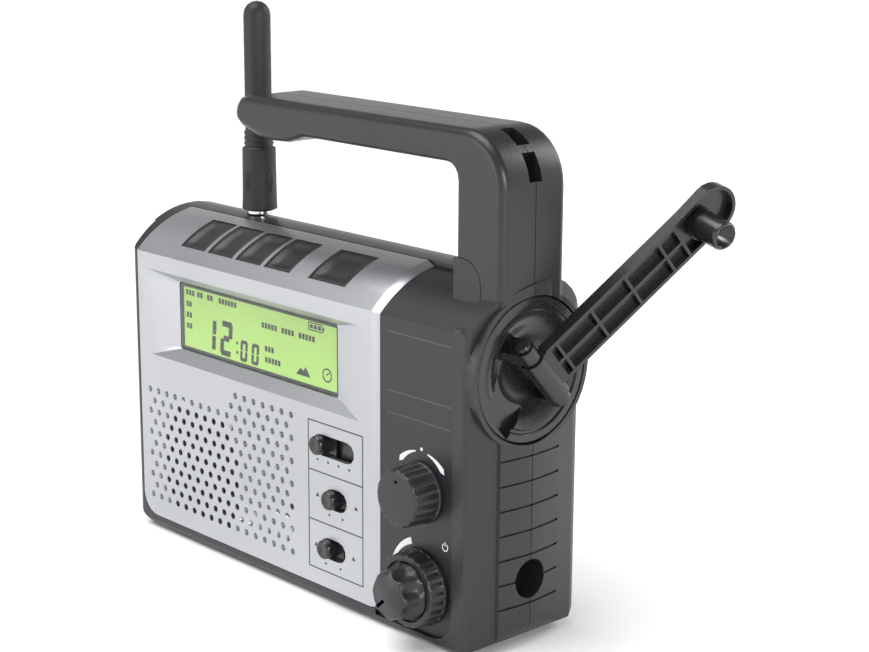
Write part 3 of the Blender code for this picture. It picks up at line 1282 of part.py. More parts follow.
def build_rear(kit, plastic, cell_skin, pack_skin, steel, rubber):
    """Battery door, cells, pack, housing screws and feet."""
    fit = DOOR_LEDGE
    door = box(
        (BAY_LEFT - fit, BACK - DOOR_THICK, BAY_BOTTOM - fit),
        (BAY_RIGHT + fit, BACK, BAY_TOP + fit),
    )
    kit.piece("battery_door", door, plastic)
    floor = BACK - DOOR_THICK - GAP - BAY_DEPTH
    depth = floor + 2.0 * MM + CELL_RADIUS
    left = BAY_LEFT + 2.5 * MM
    for i in range(3):
        z = BAY_BOTTOM + 12.0 * MM + i * (2 * CELL_RADIUS + 2.6 * MM)
        profile = [
            (0.0, left), (CELL_RADIUS, left), (CELL_RADIUS, left + CELL_LENGTH - 1.4 * MM),
            (2.7 * MM, left + CELL_LENGTH - 1.4 * MM), (2.7 * MM, left + CELL_LENGTH),
            (0.0, left + CELL_LENGTH),
        ]
        smooth(kit.piece(f"cell_{i + 1}", turned(profile, (depth, z), "x", 18), cell_skin))
    pack_left = left + CELL_LENGTH + 3.0 * MM
    pack = box((pack_left, floor + 1.5 * MM, BAY_BOTTOM + 4 * MM),
               (BAY_RIGHT - 1.5 * MM, BACK - DOOR_THICK - 2 * MM, BAY_TOP - 4 * MM))
    kit.piece("battery_pack", pack, pack_skin)
    for i, centre in enumerate(SCREWS):
        seat = BACK - 6 * MM
        profile = [
            (0.0, -12 * MM), (SCREW_RADIUS, -12 * MM), (SCREW_RADIUS, seat + GAP),
            (SCREW_HEAD, seat + GAP), (SCREW_HEAD, seat + 1.8 * MM), (SCREW_HEAD * 0.7, seat + 2.4 * MM),
            (0.0, seat + 2.4 * MM),
        ]
        smooth(kit.piece(f"housing_screw_{i + 1}", turned(profile, centre, "y", 14), steel))
    for i, centre in enumerate(FEET):
        foot = prism(foot_outline(centre, 0.0), -FOOT_HEIGHT, FOOT_SINK, "z")
        kit.piece(f"foot_{i + 1}", foot, rubber)


def foot_outline(centre, extra):
    x, y = centre
    half_x, half_y = FOOT_HALF[0] + extra, FOOT_HALF[1] + extra
    return rounded(x - half_x, x + half_x, y - half_y, y + half_y, (1.5 * MM,) * 4, 2)


def build_lamp(kit, clear, chrome, lit):
    """Lamp in the end face away from the crank."""
    centre = (0.0, LAMP_Z)
    out = -CREST_X
    lens = turned([(0.0, out + 1.0 * MM), (LAMP_RADIUS, out + 1.6 * MM), (LAMP_RADIUS, out + 3.2 * MM),
                   (0.0, out + 3.2 * MM)], centre, "x", 24)
    smooth(kit.piece("lamp_lens", lens, clear))
    near = out + 3.2 * MM + GAP
    far = near + 8.0 * MM
    cup = [
        (LAMP_RADIUS, near), (3.0 * MM, far), (1.9 * MM + GAP, far), (1.9 * MM + GAP, far - MM),
        (LAMP_RADIUS - 1.2 * MM, near),
    ]
    smooth(kit.piece("lamp_reflector", turned(cup, centre, "x", 24), chrome))
    led = [(0.0, far - 3.4 * MM), (1.2 * MM, far - 3.0 * MM), (1.9 * MM, far - 1.6 * MM),
           (1.9 * MM, far + 0.6 * MM), (0.0, far + 0.6 * MM)]
    smooth(kit.piece("lamp_led", turned(led, centre, "x", 14), lit))


def main():
    clear_scene()
    kit = Kit()
    charcoal = new_material("charcoal_plastic", (0.045, 0.047, 0.052), 0.55)
    dark = new_material("control_plastic", (0.03, 0.031, 0.034), 0.5)
    silver = new_material("silver_plastic", (0.56, 0.57, 0.6), 0.38, 0.35)
    black = new_material("black_plastic", (0.02, 0.021, 0.023), 0.45)
    rubber = new_material("black_rubber", (0.02, 0.02, 0.022), 0.8)
    clear = new_material("clear_plastic", (0.9, 0.95, 0.9), 0.05)
    glass = new_material("display_glass", (0.55, 0.75, 0.3), 0.2)
    lit = new_material("light_guide", (0.7, 0.9, 0.4), 0.4)
    steel = new_material("steel", (0.6, 0.6, 0.6), 0.3, 1.0)
    chrome = new_material("plated_metal", (0.8, 0.8, 0.8), 0.12, 1.0)
    board = new_material("circuit_board", (0.02, 0.2, 0.06), 0.5)
    paper = new_material("speaker_paper", (0.03, 0.03, 0.03), 0.9)
    white = new_material("gear_plastic", (0.75, 0.75, 0.7), 0.45)
    cell_skin = new_material("cell_wrap", (0.55, 0.4, 0.1), 0.35)
    pack_skin = new_material("pack_wrap", (0.05, 0.1, 0.45), 0.35)

    build_shells(kit, charcoal)
    build_bezel(kit, silver)
    build_panel(kit, dark)
    build_display(kit, clear, glass, lit)
    build_buttons(kit, rubber, board)
    build_sliders(kit, black, steel)
    build_knobs(kit, black, steel, board)
    build_audio(kit, black, steel, paper, board)
    build_crank(kit, black, steel, steel)
    build_gears(kit, white, steel, black)
    build_antenna(kit, rubber, chrome)
    build_rear(kit, charcoal, cell_skin, pack_skin, steel, rubber)
    build_lamp(kit, clear, chrome, lit)


main()
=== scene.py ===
"""Finishes for the hand-crank radio: skins, printed marks, display, knobs and studio.

Lengths are in metres, except where a class says that it works in millimetres. X runs
along the front towards the crank end, the front face looks to -Y, and Z is up.
"""

import logging
import math
from dataclasses import dataclass, field
from enum import Enum

import bmesh
import bpy
from mathutils import Matrix, Vector


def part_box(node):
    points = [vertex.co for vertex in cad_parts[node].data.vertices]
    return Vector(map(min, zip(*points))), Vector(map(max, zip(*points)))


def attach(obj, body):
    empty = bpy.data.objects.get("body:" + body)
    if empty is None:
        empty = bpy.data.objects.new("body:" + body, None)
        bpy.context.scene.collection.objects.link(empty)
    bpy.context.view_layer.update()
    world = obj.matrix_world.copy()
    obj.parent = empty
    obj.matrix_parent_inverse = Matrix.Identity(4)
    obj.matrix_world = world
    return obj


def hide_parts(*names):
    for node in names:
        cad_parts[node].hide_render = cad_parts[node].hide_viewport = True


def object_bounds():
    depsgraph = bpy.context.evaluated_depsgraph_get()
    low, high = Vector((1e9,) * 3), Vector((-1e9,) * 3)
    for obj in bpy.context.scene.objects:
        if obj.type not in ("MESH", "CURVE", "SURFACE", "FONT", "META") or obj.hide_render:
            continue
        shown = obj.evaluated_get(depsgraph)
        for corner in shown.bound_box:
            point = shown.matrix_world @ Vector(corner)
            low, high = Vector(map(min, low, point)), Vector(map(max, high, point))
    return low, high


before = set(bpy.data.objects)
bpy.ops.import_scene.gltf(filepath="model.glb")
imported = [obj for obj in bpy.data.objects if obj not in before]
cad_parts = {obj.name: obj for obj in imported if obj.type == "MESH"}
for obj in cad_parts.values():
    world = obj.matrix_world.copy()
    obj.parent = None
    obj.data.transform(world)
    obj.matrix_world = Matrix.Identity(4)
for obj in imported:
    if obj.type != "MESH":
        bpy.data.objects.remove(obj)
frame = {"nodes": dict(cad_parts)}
CAD_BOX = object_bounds()

LOG = logging.getLogger("radio")
MM = 0.001
Point = tuple[float, float]

PRINT_RISE = 0.05 * MM
PRINT_ROOT = 0.1 * MM
BUMP_DEPTH = 0.1 * MM
COAT_ROUGHNESS = 0.12
WINDOW_INDEX = 1.46
SMUDGE_SCALE = 18.0
SCUFF_SHARE = 0.35


class Surface(Enum):
    """How a finish scatters light."""

    SOLID = "solid"
    CLEAR = "clear"
    GLOW = "glow"


def new_group(name: str, inputs: dict[str, float], outputs: tuple[str, ...]) -> bpy.types.NodeTree:
    """Make an empty node group with float inputs and outputs.

    Args:
        name: the group's name.
        inputs: input names with their defaults.
        outputs: output names.

    Returns:
        The node tree, with its Group Input and Group Output nodes in place.
    """
    tree = bpy.data.node_groups.new(name, "ShaderNodeTree")
    for label, value in inputs.items():
        socket = tree.interface.new_socket(label, in_out="INPUT", socket_type="NodeSocketFloat")
        socket.default_value = value
    for label in outputs:
        tree.interface.new_socket(label, in_out="OUTPUT", socket_type="NodeSocketFloat")
    tree.nodes.new("NodeGroupInput")
    tree.nodes.new("NodeGroupOutput")
    return tree


class Effects:
    """Node groups that several finishes share."""

    def __init__(self) -> None:
        """Build each group once."""
        self.grain = self.build_grain()
        self.handling = self.build_handling()

    @staticmethod
    def coordinates(tree: bpy.types.NodeTree) -> bpy.types.NodeSocket:
        """Return object coordinates in the given tree."""
        return tree.nodes.new("ShaderNodeTexCoord").outputs["Object"]

    def noise(
        self, tree: bpy.types.NodeTree, scale: float | bpy.types.NodeSocket, detail: float
    ) -> bpy.types.NodeSocket:
        """Add a noise texture.

        Args:
            tree: the tree that gets the node.
            scale: cycles per metre, or the socket that holds it.
            detail: number of octaves.

        Returns:
            The noise value socket.
        """
        node = tree.nodes.new("ShaderNodeTexNoise")
        node.inputs["Detail"].default_value = detail
        if isinstance(scale, float):
            node.inputs["Scale"].default_value = scale
        else:
            tree.links.new(scale, node.inputs["Scale"])
        tree.links.new(self.coordinates(tree), node.inputs["Vector"])
        return node.outputs["Fac"]

    def build_grain(self) -> bpy.types.NodeTree:
        """Build spark-eroded mould grain: fine bumps with a little coarser unevenness.

        Returns:
            The group, which puts out a height.
        """
        tree = new_group("mould_grain", {"Scale": 2500.0, "Coarse": 0.2}, ("Height",))
        source = tree.nodes["Group Input"]
        fine = self.noise(tree, source.outputs["Scale"], 2.0)
        cells = tree.nodes.new("ShaderNodeTexVoronoi")
        tree.links.new(source.outputs["Scale"], cells.inputs["Scale"])
        tree.links.new(self.coordinates(tree), cells.inputs["Vector"])
        coarse = self.noise(tree, 260.0, 2.0)
        first = tree.nodes.new("ShaderNodeMath")
        first.operation = "MULTIPLY_ADD"
        first.inputs[1].default_value = 0.6
        tree.links.new(cells.outputs["Distance"], first.inputs[0])
        tree.links.new(fine, first.inputs[2])
        second = tree.nodes.new("ShaderNodeMath")
        second.operation = "MULTIPLY_ADD"
        tree.links.new(coarse, second.inputs[0])
        tree.links.new(source.outputs["Coarse"], second.inputs[1])
        tree.links.new(first.outputs[0], second.inputs[2])
        tree.links.new(second.outputs[0], tree.nodes["Group Output"].inputs["Height"])
        return tree

    def build_handling(self) -> bpy.types.NodeTree:
        """Build faint smudges and fine scuffs from use.

        Returns:
            The group, which puts out two masks from 0 to 1.
        """
        tree = new_group("handling", {"Smudge": SMUDGE_SCALE, "Scuff": 900.0}, ("Smudges", "Scuffs"))
        source = tree.nodes["Group Input"]
        sink = tree.nodes["Group Output"]
        for label, name, low, high in (
            ("Smudge", "Smudges", 0.35, 0.7),
            ("Scuff", "Scuffs", 0.58, 0.8),
        ):
            value = self.noise(tree, source.outputs[label], 5.0)
            spread = tree.nodes.new("ShaderNodeMapRange")
            spread.inputs["From Min"].default_value = low
            spread.inputs["From Max"].default_value = high
            tree.links.new(value, spread.inputs["Value"])
            tree.links.new(spread.outputs["Result"], sink.inputs[name])
        return tree


@dataclass(frozen=True)
class Finish:
    """One finish: colour, gloss, grain and marks of use."""

    name: str
    colour: tuple[float, float, float]
    roughness: float
    metallic: float = 0.0
    grain: float = 2500.0
    depth: float = 0.15
    coarse: float = 0.2
    shift: float = 0.12
    wear: float = 0.15
    coat: float = 0.0
    surface: Surface = Surface.SOLID
    glow: float = 0.0

    def make(self, effects: Effects) -> bpy.types.Material:
        """Build the material.

        Args:
            effects: the shared node groups.

        Returns:
            The finished material.
        """
        material = bpy.data.materials.new(self.name)
        material.use_nodes = True
        tree = material.node_tree
        shader = tree.nodes["Principled BSDF"]
        shader.inputs["Metallic"].default_value = self.metallic
        shader.inputs["Coat Weight"].default_value = self.coat
        shader.inputs["Coat Roughness"].default_value = COAT_ROUGHNESS
        if self.surface is Surface.CLEAR:
            shader.inputs["Transmission Weight"].default_value = 1.0
            shader.inputs["IOR"].default_value = WINDOW_INDEX
        scales = {"Smudge": SMUDGE_SCALE, "Scuff": self.grain * SCUFF_SHARE}
        marks = self.place(tree, effects.handling, scales)
        self.paint(tree, shader, marks)
        grain = self.place(tree, effects.grain, {"Scale": self.grain, "Coarse": self.coarse})
        bump = tree.nodes.new("ShaderNodeBump")
        bump.inputs["Strength"].default_value = self.depth
        bump.inputs["Distance"].default_value = BUMP_DEPTH
        tree.links.new(grain.outputs["Height"], bump.inputs["Height"])
        tree.links.new(bump.outputs["Normal"], shader.inputs["Normal"])
        if self.surface is Surface.GLOW:
            self.light(tree, shader)
        return material

    @staticmethod
    def place(
        tree: bpy.types.NodeTree, group: bpy.types.NodeTree, values: dict[str, float]
    ) -> bpy.types.Node:
        """Put a shared group in a material.

        Args:
            tree: the material's tree.
            group: the shared group.
            values: the values of its inputs.

        Returns:
            The group node.
        """
        node = tree.nodes.new("ShaderNodeGroup")
        node.node_tree = group
        for label, value in values.items():
            node.inputs[label].default_value = value
        return node

    def shade(self, amount: float) -> tuple[float, float, float, float]:
        """Return the colour made lighter or darker by a share."""
        return (*(min(1.0, c * (1.0 + amount)) for c in self.colour), 1.0)

    def paint(
        self, tree: bpy.types.NodeTree, shader: bpy.types.Node, marks: bpy.types.Node
    ) -> None:
        """Vary colour and gloss over the surface.

        Args:
            tree: the material's tree.
            shader: its Principled node.
            marks: the placed handling group.
        """
        mix = tree.nodes.new("ShaderNodeMix")
        mix.data_type = "RGBA"
        mix.inputs["A"].default_value = self.shade(-self.shift)
        mix.inputs["B"].default_value = self.shade(self.shift)
        tree.links.new(marks.outputs["Smudges"], mix.inputs["Factor"])
        tree.links.new(mix.outputs["Result"], shader.inputs["Base Color"])
        gloss = tree.nodes.new("ShaderNodeMath")
        gloss.operation = "MULTIPLY_ADD"
        gloss.inputs[1].default_value = self.wear
        gloss.inputs[2].default_value = self.roughness
        tree.links.new(marks.outputs["Scuffs"], gloss.inputs[0])
        tree.links.new(gloss.outputs[0], shader.inputs["Roughness"])

    def light(self, tree: bpy.types.NodeTree, shader: bpy.types.Node) -> None:
        """Make the display glow, with painted light and shade: brightest at its foot and darker
        towards its top.

        Args:
            tree: the material's tree.
            shader: its Principled node.
        """
        split = tree.nodes.new("ShaderNodeSeparateXYZ")
        tree.links.new(Effects.coordinates(tree), split.inputs[0])
        low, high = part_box("lcd_glass")
        # Painted light and shade: the glow colour is lighter at the pane's foot and darker at its
        # top.
        painted_light_ramp = tree.nodes.new("ShaderNodeMapRange")
        painted_light_ramp.inputs["From Min"].default_value = low.z + 1.5 * MM
        painted_light_ramp.inputs["From Max"].default_value = high.z - 1.1 * MM
        tree.links.new(split.outputs["Z"], painted_light_ramp.inputs["Value"])
        mix = tree.nodes.new("ShaderNodeMix")
        mix.data_type = "RGBA"
        mix.inputs["A"].default_value = self.shade(0.3)
        mix.inputs["B"].default_value = self.shade(-0.25)
        tree.links.new(painted_light_ramp.outputs["Result"], mix.inputs["Factor"])
        tree.links.new(mix.outputs["Result"], shader.inputs["Emission Color"])
        shader.inputs["Emission Strength"].default_value = self.glow


CHARCOAL = Finish("charcoal_shell", (0.0145, 0.0155, 0.018), 0.34, grain=1500.0, depth=0.4)
DARK_PANEL = Finish("dark_panel", (0.013, 0.0138, 0.0165), 0.38, grain=2200.0, depth=0.2)
SILVER = Finish(
    "silver_paint", (0.475, 0.485, 0.505), 0.31, metallic=0.9, grain=3200.0, depth=0.16, shift=0.03,
    wear=0.06,
)
BLACK = Finish("black_moulding", (0.011, 0.0114, 0.0128), 0.27, grain=2000.0, depth=0.07, coat=0.2)
KNOB_BLACK = Finish("knob_black", (0.014, 0.0145, 0.0165), 0.36, grain=2600.0, depth=0.2)
RUBBER = Finish("black_rubber", (0.009, 0.009, 0.010), 0.52, grain=1800.0, depth=0.3, wear=0.1)
KEY_RUBBER = Finish("key_rubber", (0.012, 0.0125, 0.0145), 0.42, grain=2400.0, depth=0.15)
INK_WHITE = Finish("white_ink", (0.75, 0.76, 0.78), 0.5, shift=0.04, depth=0.05)
INK_DARK = Finish("dark_ink", (0.03, 0.03, 0.035), 0.5, depth=0.05)
INK_GREY = Finish("grey_ink", (0.07, 0.075, 0.085), 0.5, depth=0.05)
CRYSTAL = Finish("display_ink", (0.0, 0.002, 0.0), 0.7, depth=0.02)
# Its glow is painted lighter at the foot and darker at the top of the pane, painted light and shade.
DISPLAY = Finish(
    "lit_display", (0.33, 0.53, 0.11), 0.5, surface=Surface.GLOW, glow=0.6, shift=0.03, depth=0.02
)
LENS = Finish(
    "clear_window", (0.96, 0.98, 0.96), 0.03, surface=Surface.CLEAR, shift=0.01, depth=0.01,
    wear=0.02,
)
STEEL = Finish("steel", (0.56, 0.56, 0.57), 0.26, metallic=1.0, grain=1200.0, depth=0.08)
CHROME = Finish("plating", (0.8, 0.8, 0.81), 0.12, metallic=1.0, grain=900.0, depth=0.03)
BOARD = Finish("board_green", (0.015, 0.12, 0.045), 0.4, grain=700.0, depth=0.2, coat=0.3)
PAPER = Finish("cone_paper", (0.02, 0.02, 0.021), 0.85, grain=1400.0, depth=0.6)
GEAR_WHITE = Finish("gear_acetal", (0.7, 0.7, 0.66), 0.4)
CELL = Finish("cell_sleeve", (0.5, 0.34, 0.07), 0.3, coat=0.4)
PACK = Finish("pack_sleeve", (0.03, 0.07, 0.32), 0.3, coat=0.4)
LIGHT_GUIDE = Finish("light_guide", (0.75, 0.8, 0.62), 0.4)
FLOOR = Finish("studio_floor", (0.97, 0.97, 0.97), 0.7, grain=300.0, depth=0.02, shift=0.01)


class Workshop:
    """Makes pieces, dresses them and puts each on its body."""

    def __init__(self) -> None:
        """Prepare the shared effects and an empty rack of materials."""
        self.effects = Effects()
        self.rack: dict[str, bpy.types.Material] = {}
        self.nodes: dict[str, bpy.types.Object] = frame["nodes"]

    def material(self, finish: Finish) -> bpy.types.Material:
        """Fetch the material of a finish, made the first time it is asked for.

        Args:
            finish: the finish.

        Returns:
            Its material.
        """
        if finish.name not in self.rack:
            self.rack[finish.name] = finish.make(self.effects)
        return self.rack[finish.name]

    def paint(self, node: str, finish: Finish) -> None:
        """Give a CAD node its finish.

        Args:
            node: the node.
            finish: the finish.
        """
        obj = self.nodes[node]
        obj.data.materials.clear()
        obj.data.materials.append(self.material(finish))
        LOG.info("%s: %s", node, finish.name)

    def add(
        self, name: str, bm: bmesh.types.BMesh, finish: Finish, body: str, slot: str,
        stands_for: tuple[str, ...] = (), sharp: float = 35.0,
    ) -> bpy.types.Object:
        """Turn a mesh into a piece of the radio.

        Args:
            name: the piece's name.
            bm: its mesh, which is used up.
            finish: its finish.
            body: the body that it rides on.
            slot: the record's material slot; not used.
            stands_for: CAD nodes that it replaces.
            sharp: the angle in degrees above which an edge stays sharp.

        Returns:
            The new object.
        """
        bmesh.ops.recalc_face_normals(bm, faces=bm.faces)
        mesh = bpy.data.meshes.new(name)
        bm.to_mesh(mesh)
        bm.free()
        obj = bpy.data.objects.new(name, mesh)
        bpy.context.scene.collection.objects.link(obj)
        mesh.materials.append(self.material(finish))
        mesh.polygons.foreach_set("use_smooth", [True] * len(mesh.polygons))
        mesh.set_sharp_from_angle(angle=math.radians(sharp))
        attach(obj, body)
        if stands_for:
            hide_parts(*stands_for)
        LOG.info("%s: %d faces, %s", name, len(mesh.polygons), finish.name)
        return obj

    def node_mesh(self, node: str) -> bmesh.types.BMesh:
        """Copy a node's mesh, welded and with its flat faces made whole.

        Args:
            node: the node.

        Returns:
            The copy.
        """
        bm = bmesh.new()
        bm.from_mesh(self.nodes[node].data)
        bmesh.ops.remove_doubles(bm, verts=bm.verts, dist=2e-6)
        flat = math.radians(0.4)
        bmesh.ops.dissolve_limit(bm, angle_limit=flat, verts=bm.verts, edges=bm.edges)
        return bm

    def skin(
        self, node: str, finish: Finish, body: str, slot: str, edge: float = 0.0,
        cutter: bmesh.types.BMesh | None = None, sharp: float = 32.0,
    ) -> bpy.types.Object:
        """Stand a clean copy in for a CAD node, with eased edges.

        Args:
            node: the node that it stands for.
            finish: its finish.
            body: the body that it rides on.
            slot: the record's material slot; not used.
            edge: how far its edges are eased, in metres; 0 leaves them.
            cutter: a shape that is taken out of it first.
            sharp: the angle in degrees above which an edge stays sharp.

        Returns:
            The new object.
        """
        obj = self.add(f"{node}_skin", self.node_mesh(node), finish, body, slot, (node,), sharp)
        if edge:
            ease = obj.modifiers.new("eased_edges", "BEVEL")
            ease.width = edge
            ease.segments = 2
            ease.limit_method = "ANGLE"
            ease.angle_limit = math.radians(max(sharp, 40.0))
        if cutter is not None:
            self.carve(obj, cutter)
        normals = obj.modifiers.new("even_normals", "WEIGHTED_NORMAL")
        normals.keep_sharp = True
        return obj

    def carve(self, obj: bpy.types.Object, cutter: bmesh.types.BMesh) -> None:
        """Take a shape out of a piece for good.

        Args:
            obj: the piece.
            cutter: the shape, which is used up.
        """
        bmesh.ops.recalc_face_normals(cutter, faces=cutter.faces)
        mesh = bpy.data.meshes.new("cutter")
        cutter.to_mesh(mesh)
        cutter.free()
        tool = bpy.data.objects.new("cutter", mesh)
        bpy.context.scene.collection.objects.link(tool)
        cut = obj.modifiers.new("cut", "BOOLEAN")
        cut.operation = "DIFFERENCE"
        cut.solver = "EXACT"
        cut.object = tool
        graph = bpy.context.evaluated_depsgraph_get()
        made = bpy.data.meshes.new_from_object(obj.evaluated_get(graph))
        obj.modifiers.clear()
        obj.data = made
        bpy.data.objects.remove(tool)
        made.polygons.foreach_set("use_smooth", [True] * len(made.polygons))
        made.set_sharp_from_angle(angle=math.radians(32.0))


def loft(
    near: list[Point], far: list[Point], front: float, back: float, bm: bmesh.types.BMesh
) -> None:
    """Add a closed shape between two outlines that face the front.

    Args:
        near: corners of the front outline as (x, z).
        far: as many corners of the back outline.
        front: y of the front.
        back: y of the back.
        bm: the mesh that gets it.
    """
    rows = [
        [bm.verts.new((x, y, z)) for x, z in outline]
        for outline, y in ((near, front), (far, back))
    ]
    bm.faces.new(rows[0])
    bm.faces.new(rows[1][::-1])
    for i in range(len(near)):
        j = (i + 1) % len(near)
        bm.faces.new((rows[0][i], rows[1][i], rows[1][j], rows[0][j]))


def plate(outline: list[Point], front: float, back: float, bm: bmesh.types.BMesh) -> None:
    """Add a flat shape that faces the front, with the same outline at front and back."""
    loft(outline, outline, front, back, bm)


def arc(centre: Point, radius: float, start: float, turn: float, steps: int) -> list[Point]:
    """Return points on an arc.

    Args:
        centre: its centre.
        radius: its radius.
        start: angle of its first point in degrees.
        turn: how far it runs in degrees; a full turn leaves out its last point.
        steps: number of steps.

    Returns:
        The points in order.
    """
    count = steps if abs(turn) >= 360.0 else steps + 1
    angles = (math.radians(start + turn * i / steps) for i in range(count))
    return [(centre[0] + radius * math.cos(a), centre[1] + radius * math.sin(a)) for a in angles]


def band(centre: Point, low: float, high: float, start: float, turn: float) -> list[Point]:
    """Return the outline of a strip between two radii.

    Args:
        centre: centre of both arcs.
        low: the inner radius.
        high: the outer radius.
        start: angle of its start in degrees.
        turn: how far it runs in degrees.

    Returns:
        The outline's corners.
    """
    steps = max(4, int(abs(turn) / 6.0))
    outer = arc(centre, high, start, turn, steps)
    inner = arc(centre, low, start, turn, steps)
    return outer + inner[::-1]


def spoke(radius: float, angle: float) -> Point:
    """Return the point at a radius and an angle in degrees about the origin."""
    turned = math.radians(angle)
    return radius * math.cos(turned), radius * math.sin(turned)


def oblong(left: float, right: float, low: float, high: float) -> list[Point]:
    """Return a rectangle's corners."""
    return [(left, low), (right, low), (right, high), (left, high)]


def middle(node: str) -> Point:
    """Return the (x, z) middle of a CAD node, in metres."""
    low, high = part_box(node)
    return (low.x + high.x) / 2, (low.z + high.z) / 2


def depths(node: str) -> Point:
    """Return the y of a CAD node's face and of its back, in millimetres."""
    low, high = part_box(node)
    return low.y / MM, high.y / MM


@dataclass
class Marks:
    """Thin shapes on a face that looks to the front, drawn in millimetres.

    Their front and back are y values in metres.
    """

    front: float
    back: float
    bm: bmesh.types.BMesh = field(default_factory=bmesh.new)

    def draw(
        self, outline: list[Point], about: Point = (0.0, 0.0), lift: float = 0.0
    ) -> None:
        """Add one shape.

        Args:
            outline: its corners in millimetres.
            about: the place of the drawing's origin, in metres.
            lift: how far it stands out from the other shapes, in metres.
        """
        corners = [(about[0] + x * MM, about[1] + z * MM) for x, z in outline]
        plate(corners, self.front - lift, self.back, self.bm)


@dataclass
class Lathe:
    """A knob turned about an axis along Y, with flutes round its rim.

    The centre is in metres. Each row is (radius, y, flute depth) in millimetres.
    """

    centre: Point
    rows: list[tuple[float, float, float]]
    flutes: int
    steps: int = 8
    sharpness: float = 1.0

    def build(self) -> bmesh.types.BMesh:
        """Turn the knob.

        Returns:
            Its closed mesh.
        """
        bm = bmesh.new()
        count = self.flutes * self.steps
        rings = []
        for radius, y, depth in self.rows:
            ring = []
            for i in range(count):
                a = 2.0 * math.pi * i / count
                wave = (0.5 - 0.5 * math.cos(self.flutes * a)) ** self.sharpness
                r = (radius - depth * wave) * MM
                x = self.centre[0] + r * math.cos(a)
                z = self.centre[1] + r * math.sin(a)
                ring.append(bm.verts.new((x, y * MM, z)))
            rings.append(ring)
        bm.faces.new(rings[0])
        bm.faces.new(rings[-1][::-1])
        for near, far in zip(rings, rings[1:]):
            for i in range(count):
                j = (i + 1) % count
                bm.faces.new((near[i], far[i], far[j], near[j]))
        return bm


@dataclass
class Housing:
    """Both shells, the battery door, feet and screws."""

    edge: float = 0.35 * MM
    ribs: int = 5
    rib_pitch: float = 2.6 * MM
    rib_drop: float = 6.0 * MM
    rib_half: float = 11.0 * MM
    rib_taper: float = 1.2 * MM
    rib_radius: float = 0.6 * MM
    cross_long: float = 1.7 * MM
    cross_thin: float = 0.35 * MM
    cross_depth: float = 0.9 * MM

    def dress(self, shop: Workshop) -> None:
        """Dress the shells and what closes them.

        Args:
            shop: the workshop.
        """
        for node in ("front_shell", "rear_shell"):
            shop.skin(node, CHARCOAL, "housing", "charcoal_plastic", self.edge, sharp=47.0)
        shop.skin("battery_door", CHARCOAL, "battery_door", "charcoal_plastic", 0.4 * MM)
        self.build_grip(shop)
        for i in range(1, 5):
            shop.skin(f"foot_{i}", RUBBER, "housing", "black_rubber", 0.3 * MM)
        self.build_screws(shop)

    def build_grip(self, shop: Workshop) -> None:
        """Raise finger ribs near the top of the battery door.

        Args:
            shop: the workshop.
        """
        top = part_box("battery_door")[1]
        x = middle("battery_door")[0]
        bm = bmesh.new()
        for i in range(self.ribs):
            z = top.z - self.rib_drop - i * self.rib_pitch
            half = self.rib_half - i * self.rib_taper
            outline = arc((x + half, z), self.rib_radius, -90.0, 180.0, 6)
            outline += arc((x - half, z), self.rib_radius, 90.0, 180.0, 6)
            plate(outline, top.y - 0.2 * MM, top.y + 0.5 * MM, bm)
        shop.add("door_ribs", bm, CHARCOAL, "battery_door", "charcoal_plastic")

    def build_screws(self, shop: Workshop) -> None:
        """Cut a cross in each screw head.

        Args:
            shop: the workshop.
        """
        long, thin = self.cross_long, self.cross_thin
        cross = [
            (thin, thin), (thin, long), (-thin, long), (-thin, thin), (-long, thin),
            (-long, -thin), (-thin, -thin), (-thin, -long), (thin, -long), (thin, -thin),
            (long, -thin), (long, thin),
        ]
        for i in range(1, 5):
            name = f"housing_screw_{i}"
            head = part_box(name)[1].y
            x, z = middle(name)
            cutter = bmesh.new()
            plate([(x + u, z + v) for u, v in cross], head - self.cross_depth, head + MM, cutter)
            shop.skin(name, STEEL, "housing", "steel", cutter=cutter)


